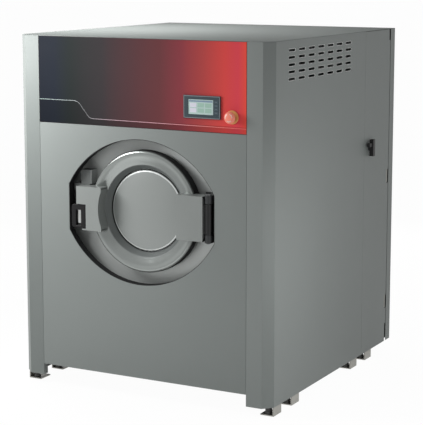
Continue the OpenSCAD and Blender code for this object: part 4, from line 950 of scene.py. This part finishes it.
motor_blue = surface("motor paint", tone(70, 82, 96), 0.46, cloud=0.08, bump=0.15, dust=0.2,
                     wear=0.3)
folded("motor_housing", "motor_body", motor_blue, 0.8)
belt_rubber = surface("belt rubber", tone(26, 26, 27), 0.62, bump=0.1, gloss=0.2)
folded("drive_belt", "belt", belt_rubber, 0.6)
folded("drain_valve", "drain_sump", black_plastic, 0.8)
hinge_finish = {"bump": 0.08, "gloss": 0.3, "wear": 0.25, "bare": (90, 92, 92)}
hinge_black = surface("hinge black", tone(14, 15, 16), 0.5, **hinge_finish)
hinge_grey = surface("hinge grey", tone(44, 46, 47), 0.5, **hinge_finish)
folded("hinge_bracket", "door_hinge_bracket", hinge_grey, 1.4, 3)
folded("hinge_pin", "door_hinge_pin", surface("pin steel", tone(92, 94, 95), 0.4, 0.5), 0.4)
lock_case = folded("lock_housing", "lock_case", hinge_black, 1.0, 3)
cap_from, light_side_from = 716, -219
cut_level(lock_case, cap_from)
lock_cap = surface("lock cap", tone(92, 95, 94), 0.5, gloss=0.3)
painted_where(lock_case, lock_cap, lambda x, d, z: z > cap_from)
# The case's right face above the lock plate takes the lightened ring steel: painted light on a face
# in shade.
painted_where(lock_case, lightened_ring_steel, lambda x, d, z: z > cap_from and x > light_side_from)
# A bright strike plate on the tub, seen through the handle's slot; its near-white tone is partly
# painted light for a spot in the handle's shade.
strike = block("lock_strike", -281, -228, 29.2, 30, 598, 656, 0.3)
strike_lightened_steel = surface("strike steel lightened", tone(212, 214, 212), 0.4, 0.5, cloud=0.06)
fitted(strike, "tub", "lock_housing", strike_lightened_steel)
folded("lock_bolt", "bolt", rod_chrome, 0.3)
folded("door_gasket", "loading_gasket", rubber, 1.6, 3)


# --- Drum ---------------------------------------------------------------------------------
# Perforated stainless drum with folded lifters, on a welded three-arm spider and a shaft that
# carries the large pulley. The holes are dark discs dished inwards in rows round the cylinder,
# their dark painted shade for the openings.

drum_steel = surface("drum stainless", tone(166, 169, 169), 0.26, 0.92, grain=0.05)
for node, name in (("drum_shell", "drum_cylinder"), ("drum_lifters", "lifters"),
                   ("drum_spider", "spider")):
    folded(node, name, drum_steel, 0.6)
folded("drum_pulley", "large_pulley", cast_paint, 1.0)
folded("motor_rotor", "motor_shaft", rod_chrome, 0.6)

drum_radius, hole_count, hole_rows, hole_pitch = 375, 96, 20, 21
first_row, hole_radius, rim_width, dish = 154, 0.0037, 0.0011, 0.0006
inner = drum_radius - 1.75
holes = added("drum_perforation", bpy.ops.mesh.primitive_circle_add, vertices=8,
              radius=hole_radius, fill_type="NGON", rotation=(0, 0, 0),
              location=at(0, first_row, door_z - inner))
opened(holes)
bpy.ops.mesh.inset(thickness=rim_width, depth=-dish)
bpy.ops.object.mode_set(mode="OBJECT")
rowed(holes, hole_rows, (0, hole_pitch / 1000, 0))
axle = bpy.data.objects.new("drum_step", None)
bpy.context.scene.collection.objects.link(axle)
bpy.context.scene.cursor.location = at(0, first_row, door_z)
alone(holes)
bpy.ops.object.origin_set(type="ORIGIN_CURSOR")
axle.location = holes.location
axle.rotation_euler = (0, math.tau / hole_count, 0)
bpy.context.view_layer.update()
modified(holes, "ARRAY", count=hole_count, use_relative_offset=False, use_object_offset=True,
         offset_object=axle)
bpy.data.objects.remove(axle)
bpy.ops.object.transform_apply()
# The perforations are dark discs, not openings: painted shade for the dark seen through holes.
hole_painted_shade = surface("perforation painted shade", tone(30, 31, 32), 0.5, gloss=0.3)
fitted(holes, "drum", "drum_shell", hole_painted_shade)


# --- Door ---------------------------------------------------------------------------------
# Spun stainless ring with a black band of painted shade round its rim, a glass bowl clamped behind
# it and a domed cover over the window. A plate at the right carries the hinge, one at the left the
# lock's tongue and the black handle.

door_at = at(0, 0, door_z)
ring_satin = surface("ring satin", tone(122, 126, 124), 0.2, 0.6, cloud=0.05, spread=0.06,
                     gloss=0.3)
ring = turned("door_ring_spun", door_at, "Y", [
    (212, 56.5), (211.4, 57.7), (210, 58), (146.5, 58), (146, 57), (146, 52.4), (146.8, 50.4),
    (158.6, 35.6), (160.4, 33.6), (162.6, 32.4), (166, 31.2), (174, 28), (184, 23.8), (192, 21.4),
    (199, 20.2), (204, 20), (207.6, 20.8), (210.4, 22.8), (211.8, 26), (212, 30), (212, 56.5)], 160)
fitted(smoothed(ring, 30), "door", "door_ring", ring_satin, "door_ring")
# The recess's inner wall is painted darker than the ring: painted shade where the ring turns in.
ring_shade = surface("ring recess shade", tone(90, 94, 93), 0.5, 0.2, gloss=0.3)
recess_radius, recess_depth = 161.5, 53
painted_where(ring, ring_shade, lambda x, d, z: (
    math.hypot(x, z - door_z) < recess_radius and d < recess_depth))
# A black band round the ring's outer wall: painted shade on the ring's side.
band = turned("door_rim_shade_band", door_at, "Y", [
    (211.9, 28), (212.9, 28.6), (213.4, 30), (213.4, 54), (212.9, 55.4), (211.9, 56),
    (211.9, 28)], 160)
fitted(smoothed(band, 30), "door", "door_ring", painted_shade_black)

glass, melt, pane = new_paint("door glass")
smear_scale, smear_rough = 30.0, 0.09
smear = maths(melt, "MULTIPLY", noise(melt, own_place(melt), smear_scale), smear_rough)
dialled(pane, Base_Color=tone(214, 226, 224), Transmission_Weight=1.0, IOR=1.47, Roughness=smear)
folded("door_glass", "glass_bowl", glass, 1.2, 3)
folded("glass_clamp", "glass_clamp_ring", pipe_steel, 0.5)
screw_circle, screw_count = 171, 12
clamp_screws = []
for i in range(screw_count):
    turn = math.tau * (i + 0.5) / screw_count
    seat = at(screw_circle * math.cos(turn), 0, door_z + screw_circle * math.sin(turn))
    clamp_screws.append(smoothed(turned("clamp_screw", seat, "Y", [
        (0, 72.3), (6, 72.3), (6, 73.2), (5.2, 74.2), (3.4, 75), (1.6, 75.2), (1.6, 74.2),
        (0, 74.2)], 20)))
fitted(joined("clamp_screws", clamp_screws), "door", "glass_clamp", rod_chrome)

cover_paint = surface("window cover", tone(128, 132, 130), 0.4, 0.25, cloud=0.03, gloss=0.45)
cover = turned("window_dome", door_at, "Y", [
    (0, 44), (30, 44.15), (60, 44.7), (90, 45.9), (115, 47.7), (130, 49.3), (136, 50.1),
    (139, 50.9), (140.6, 52), (141, 53.4), (141, 58), (137, 58), (137, 54.4), (120, 52.6),
    (90, 50), (60, 48.8), (0, 48.1)], 160)
fitted(smoothed(cover, 30), "door", "window_cover", cover_paint, "window_cover")
# A lighter band round the dome's rim: a painted highlight on its edge.
cover_edge_highlight = surface("cover edge highlight", tone(192, 196, 194), 0.42, 0.4, cloud=0.08)
edge_inner, edge_outer, edge_depth = 135.5, 140, 51.5
painted_where(cover, cover_edge_highlight, lambda x, d, z: (
    edge_inner < math.hypot(x, z - door_z) < edge_outer and d < edge_depth))

plate_steel = surface("plate satin", tone(125, 129, 127), 0.4, 0.3, stretch=(1, 1, 0.03),
                      grain=0.03, gloss=0.4)
hinge_cover = folded("hinge_plate", "hinge_cover", plate_steel, 1.5, 3)
# The hinge knuckle is black; the plate's folded side wall behind its face is painted black too, as
# painted shade.
knuckle_from, shade_fold_from, plate_back = 251.5, 245, 1
painted_where(hinge_cover, hinge_black, lambda x, d, z: (
    x > knuckle_from or d > plate_back and x > shade_fold_from))
folded("lock_plate", "lock_cover", plate_steel, 1.5, 3)
handle_black = surface("handle black", tone(12, 12, 13), 0.5, bump=0.08, gloss=0.2)
folded("door_handle", "pull_handle", handle_black, 2.6, 4)
folded("handle_pin", "handle_pivot", rod_chrome, 0.3)


bpy.context.view_layer.update()
